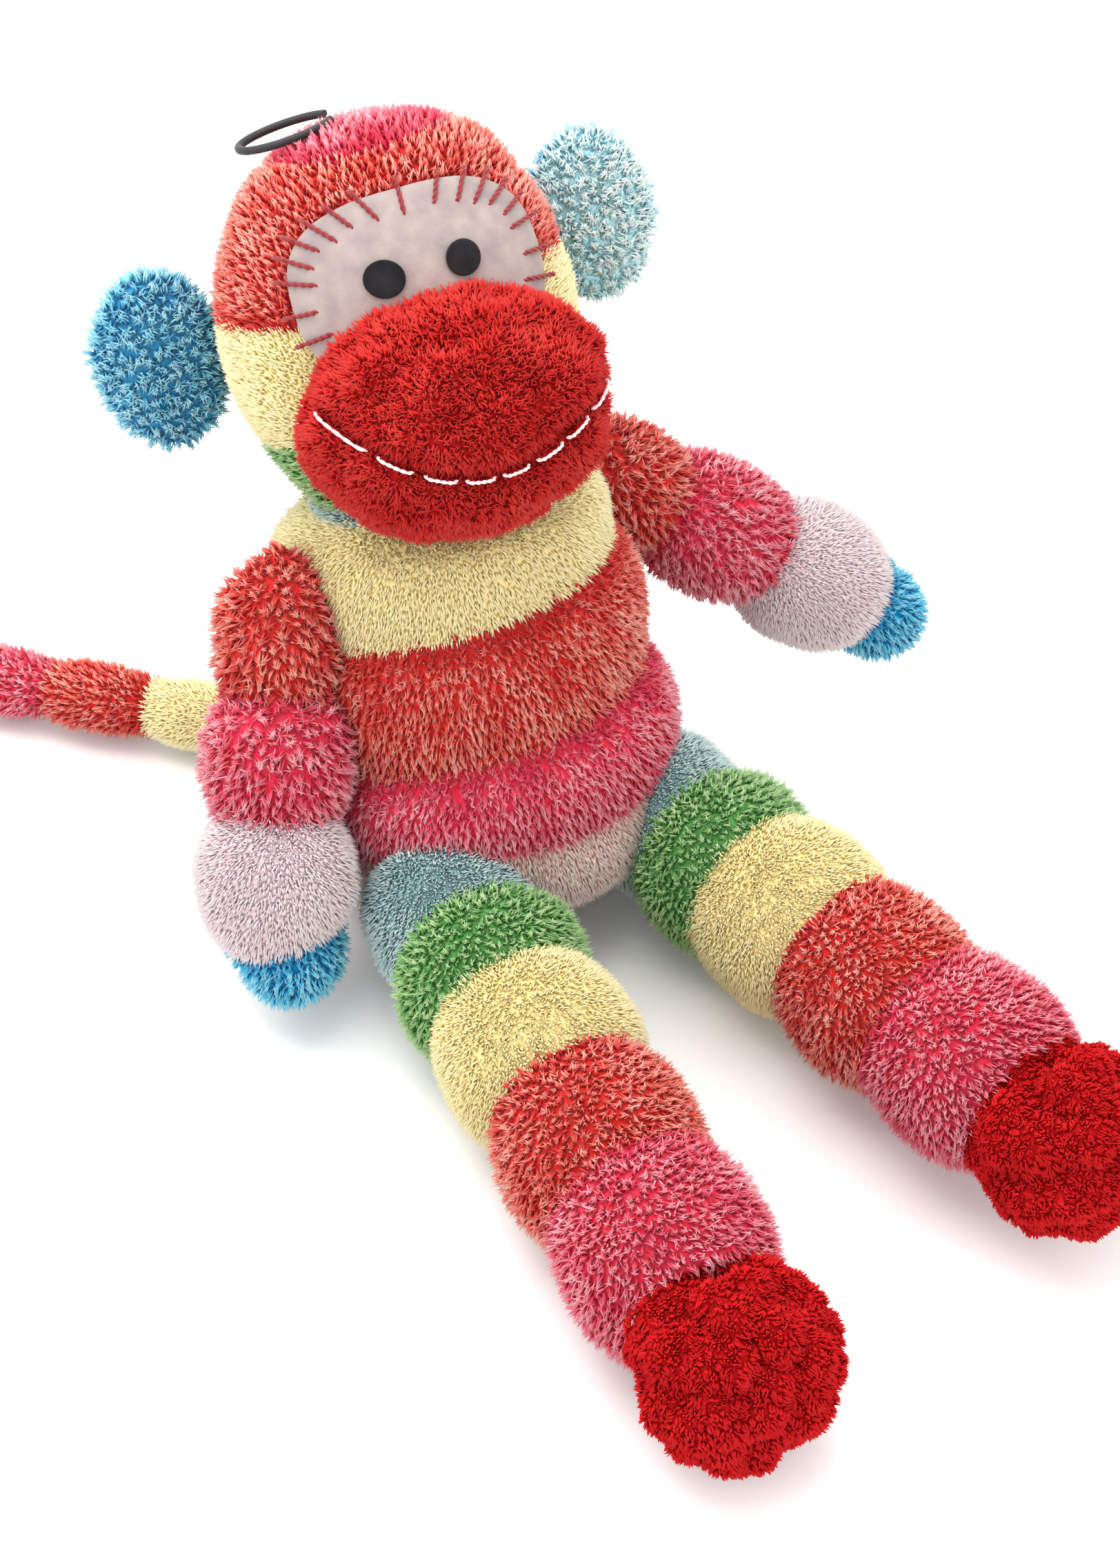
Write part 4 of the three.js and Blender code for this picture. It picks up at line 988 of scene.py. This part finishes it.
def felt_disc(name, outline, middle, off, thickness, material, rings=9, segments=64):
    bpy.ops.object.select_all(action="DESELECT")
    bpy.ops.mesh.primitive_circle_add(vertices=segments, radius=1, fill_type="NGON")
    disc = bpy.context.object
    disc.name = name
    bpy.ops.object.mode_set(mode="EDIT")
    for _ in range(rings):
        bpy.ops.mesh.inset(thickness=1 / (rings + 1.5), depth=0)
    bpy.ops.mesh.poke()
    bpy.ops.object.mode_set(mode="OBJECT")
    for vertex in disc.data.vertices:
        reach = math.hypot(vertex.co.x, vertex.co.y)
        x, y = outline(math.atan2(vertex.co.y, vertex.co.x))
        lift = off + 0.25 * noise.noise(Vector((x * reach, y * reach, 3)) / 7)
        vertex.co = on_head(middle[0] + x * reach, middle[1] + y * reach, lift) * MM
    only(disc)
    bpy.ops.object.mode_set(mode="EDIT")
    bpy.ops.mesh.select_all(action="SELECT")
    bpy.ops.mesh.normals_make_consistent(inside=False)
    bpy.ops.object.mode_set(mode="OBJECT")
    if disc.data.polygons[0].normal.z < 0:
        disc.data.flip_normals()
    thick = disc.modifiers.new("thickness", "SOLIDIFY")
    thick.thickness = thickness * MM
    thick.offset = 1
    soft = disc.modifiers.new("soft_edge", "BEVEL")
    soft.width = thickness * 0.35 * MM
    soft.segments = 2
    soft.angle_limit = math.radians(50)
    finish_modifiers(disc)
    smooth(disc)
    settle(disc, head_frame)
    disc.data.materials.append(material)
    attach(disc, "head")
    return disc


PALE_FELT = felt("pale_felt", (146, 132, 132), (166, 152, 146))
BLACK_FELT = felt("black_felt", (14, 14, 16), (34, 33, 36), bump=0.5)
face_patch = felt_disc("face_felt", face_outline, (0, FACE_MIDDLE), 0.2, 1.2, PALE_FELT)
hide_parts("face_felt_patch")
EYE_SIZE = {"right": (4.6, 4.1), "left": (4.1, 3.9)}
EYE_APART, EYE_HEIGHT = 9.2, 18.5
for side, sign in (("right", -1), ("left", 1)):
    wide, tall = EYE_SIZE[side]
    eye = felt_disc(
        f"{side}_eye", lambda a, w=wide, t=tall: (w * math.cos(a), t * math.sin(a)),
        (sign * EYE_APART, EYE_HEIGHT), 1.5, 1.1, BLACK_FELT, rings=4, segments=40,
    )
    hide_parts(f"{side}_felt_eye")
    print(eye.name, len(eye.data.polygons), "faces")

# %% [markdown]
# ## Stitches
# Sewing thread is two strands twisted together. Two thin cylinders side by side are cut across many
# times, joined, and turned by a twist: that is one stitch. Each copy is laid along its own short path.

# %% Thread
def thread_material(name, dark, light):
    made = bpy.data.materials.new(name)
    made.use_nodes = True
    tree = made.node_tree
    shader = tree.nodes["Principled BSDF"]
    shader.inputs["Roughness"].default_value = 0.6
    shader.inputs["Sheen Weight"].default_value = 0.2
    place = add(tree, "ShaderNodeTexCoord", -700, 0).outputs["Object"]
    fibre = add(tree, "ShaderNodeTexNoise", -500, 0)
    fibre.inputs["Scale"].default_value = 2200
    ramp = add(tree, "ShaderNodeValToRGB", -300, 0)
    ramp.color_ramp.elements[0].color = rgb(*dark)
    ramp.color_ramp.elements[1].color = rgb(*light)
    tree.links.new(place, fibre.inputs["Vector"])
    tree.links.new(fibre.outputs["Fac"], ramp.inputs["Fac"])
    tree.links.new(ramp.outputs["Color"], shader.inputs["Base Color"])
    return made


def thread_stitch(path, thickness, twists, steps=22):
    """A twisted two-strand thread along a path of points."""
    bpy.ops.object.select_all(action="DESELECT")
    strands = []
    for sign in (-1, 1):
        bpy.ops.mesh.primitive_cylinder_add(
            vertices=7, radius=thickness * 0.29, depth=1, location=(sign * thickness * 0.21, 0, 0.5),
            end_fill_type="TRIFAN",
        )
        strands.append(bpy.context.object)
    for strand in strands:
        strand.select_set(True)
    bpy.ops.object.join()
    made = bpy.context.object
    bpy.ops.object.transform_apply(location=True)
    bpy.ops.object.mode_set(mode="EDIT")
    bpy.ops.mesh.select_mode(type="EDGE")
    bpy.ops.mesh.select_all(action="DESELECT")
    bpy.ops.object.mode_set(mode="OBJECT")
    for edge in made.data.edges:
        ends = [made.data.vertices[v].co.z for v in edge.vertices]
        edge.select = max(ends) - min(ends) > 0.5
    bpy.ops.object.mode_set(mode="EDIT")
    bpy.ops.mesh.subdivide(number_cuts=steps)
    bpy.ops.object.mode_set(mode="OBJECT")
    points = coords(made)
    spots = np.array(path, float)
    lengths = np.concatenate([[0], np.cumsum(np.linalg.norm(np.diff(spots, axis=0), axis=1))])
    for i, (x, y, z) in enumerate(points):
        at = z * lengths[-1]
        centre = Vector([np.interp(at, lengths, spots[:, k]) for k in range(3)])
        ahead = Vector([np.interp(min(at + 1e-4, lengths[-1]), lengths, spots[:, k]) for k in range(3)])
        behind = Vector([np.interp(max(at - 1e-4, 0), lengths, spots[:, k]) for k in range(3)])
        line = (ahead - behind).normalized()
        side = line.cross(Vector((0.3, 0.2, 0.9))).normalized()
        angle = twists * 2 * math.pi * z
        taper = 1 if 0.03 < z < 0.97 else 0.55
        u = (x * math.cos(angle) - y * math.sin(angle)) * taper
        v = (x * math.sin(angle) + y * math.cos(angle)) * taper
        points[i] = centre + side * u + line.cross(side) * v
    move_points(made, points)
    return made


def join_all(name, parts, material, body):
    only(parts[0])
    for part in parts:
        part.select_set(True)
    bpy.ops.object.join()
    made = bpy.context.object
    made.name = name
    smooth(made)
    made.data.materials.clear()
    made.data.materials.append(material)
    settle(made, Matrix.Identity(4))
    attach(made, body)
    return made


# %% [markdown]
# ## Blanket stitch
# Red stitches hold the felt's edge down, one spoke at a time. Hand sewing is never even, so each spoke
# leans and reaches a little differently. The random numbers start from a fixed seed, so they never change.

# %% Blanket stitch
RED_THREAD = thread_material("red_thread", (96, 6, 12), (160, 22, 30))
BLANKET_STITCHES = 17
rng = np.random.default_rng(7)
spokes = []
for i in range(BLANKET_STITCHES):
    angle = math.radians(-14 + 208 * i / (BLANKET_STITCHES - 1))
    x, y = face_outline(angle)
    out = Vector((x, y)).normalized()
    lean = Vector((-out.y, out.x)) * rng.uniform(-0.12, 0.12)
    inner, outer = rng.uniform(5.6, 7.2), rng.uniform(1.8, 3.0)
    path = []
    for step in range(9):
        t = step / 8
        reach = -inner + (inner + outer) * t
        spot = Vector((x, y + FACE_MIDDLE)) + (out + lean) * reach
        lift = 1.75 - 1.9 * (1 - t) ** 8 + (0.9 if reach > 0.3 else 0) - 1.6 * t ** 10
        path.append(head_frame @ (on_head(spot.x, spot.y, lift) * MM))
    spokes.append(thread_stitch(path, 1.3 * MM, 3.5))
blanket = join_all("face_blanket_stitches", spokes, RED_THREAD, "head")
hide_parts("face_blanket_stitch")
print("blanket stitches", len(spokes))

# %% [markdown]
# ## Smile
# The smile is a running stitch. Its dashes follow the crease, and both ends of each dive into the wool.

# %% Smile
WHITE_THREAD = thread_material("white_thread", (214, 176, 182), (250, 234, 236))
MUZZLE_HALF = Vector((MUZZLE_WIDTH / 2, MUZZLE_HEIGHT / 2, MUZZLE_DEPTH))


def smile_point(across, lift):
    height = smile_height(across)
    ahead = math.sqrt(max(1 - across ** 2 - height ** 2, 0.02))
    spot = Vector((across * MUZZLE_HALF.x, height * MUZZLE_HALF.y, ahead * MUZZLE_HALF.z))
    normal = Vector((across / MUZZLE_HALF.x, height / MUZZLE_HALF.y, ahead / MUZZLE_HALF.z)).normalized()
    return muzzle_frame @ ((spot + normal * lift) * MM)


dashes = []
DASHES = 8
for i in range(DASHES):
    start = -0.9 + 1.8 * i / DASHES
    end = start + 1.8 / DASHES * (0.8 + 0.06 * rng.uniform(-1, 1))
    path = []
    for step in range(11):
        t = step / 10
        dip = -1.3 * (2 * t - 1) ** 8
        path.append(smile_point(start + (end - start) * t, 0.2 + dip))
    dashes.append(thread_stitch(path, 0.9 * MM, 3))
smile = join_all("smile_stitches", dashes, WHITE_THREAD, "head")
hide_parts("smile_thread")
print("smile stitches", len(dashes))

# %% [markdown]
# ## The hang loop
# Round elastic is a tube of braid. It leaves the crown, runs out flat and comes back beside its start.
# A path of points with a round bevel draws it in one go, and the curve is then made a mesh.

# %% Hang loop
LOOP_ROOT, LOOP_LENGTH, LOOP_WIDTH, LOOP_CORD = Vector((-4.44, 51.15, -0.5)), 23.5, 13, 2.0
loop_along = Vector((-1, -0.12, -0.16)).normalized()
loop_across = Vector((0, 0.15, -1)).normalized()
ELASTIC = thread_material("black_elastic", (6, 6, 7), (26, 26, 28))
LOOP_GAP = 0.42
loop_path = []
for step in range(33):
    angle = LOOP_GAP + (2 * math.pi - 2 * LOOP_GAP) * step / 32
    along = loop_along * LOOP_LENGTH / 2 * (1 - math.cos(angle))
    across = loop_across * LOOP_WIDTH / 2 * math.sin(angle)
    loop_path.append(head_frame @ ((LOOP_ROOT + along + across) * MM))
loop_line = bpy.data.curves.new("hang_loop_elastic", "CURVE")
loop_line.dimensions = "3D"
spline = loop_line.splines.new("POLY")
spline.points.add(len(loop_path) - 1)
for point, spot in zip(spline.points, loop_path):
    point.co = (*spot, 1)
loop_line.bevel_depth = LOOP_CORD / 2 * MM
loop_line.bevel_resolution = 3
loop_line.use_fill_caps = True
elastic = bpy.data.objects.new("hang_loop_elastic", loop_line)
bpy.context.scene.collection.objects.link(elastic)
only(elastic)
bpy.ops.object.convert(target="MESH")
elastic = bpy.context.object
smooth(elastic)
elastic.data.materials.append(ELASTIC)
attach(elastic, "hang_loop")
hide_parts("hang_loop")
print("hang loop", len(elastic.data.polygons), "faces")

# %% [markdown]
# ## Putting the tools away
# The fibres were only patterns, so they go.

# %% Finish
for pattern in FIBRES.values():
    bpy.data.objects.remove(pattern)
print("padded pieces", len(face_counts), "faces", sum(face_counts.values()))
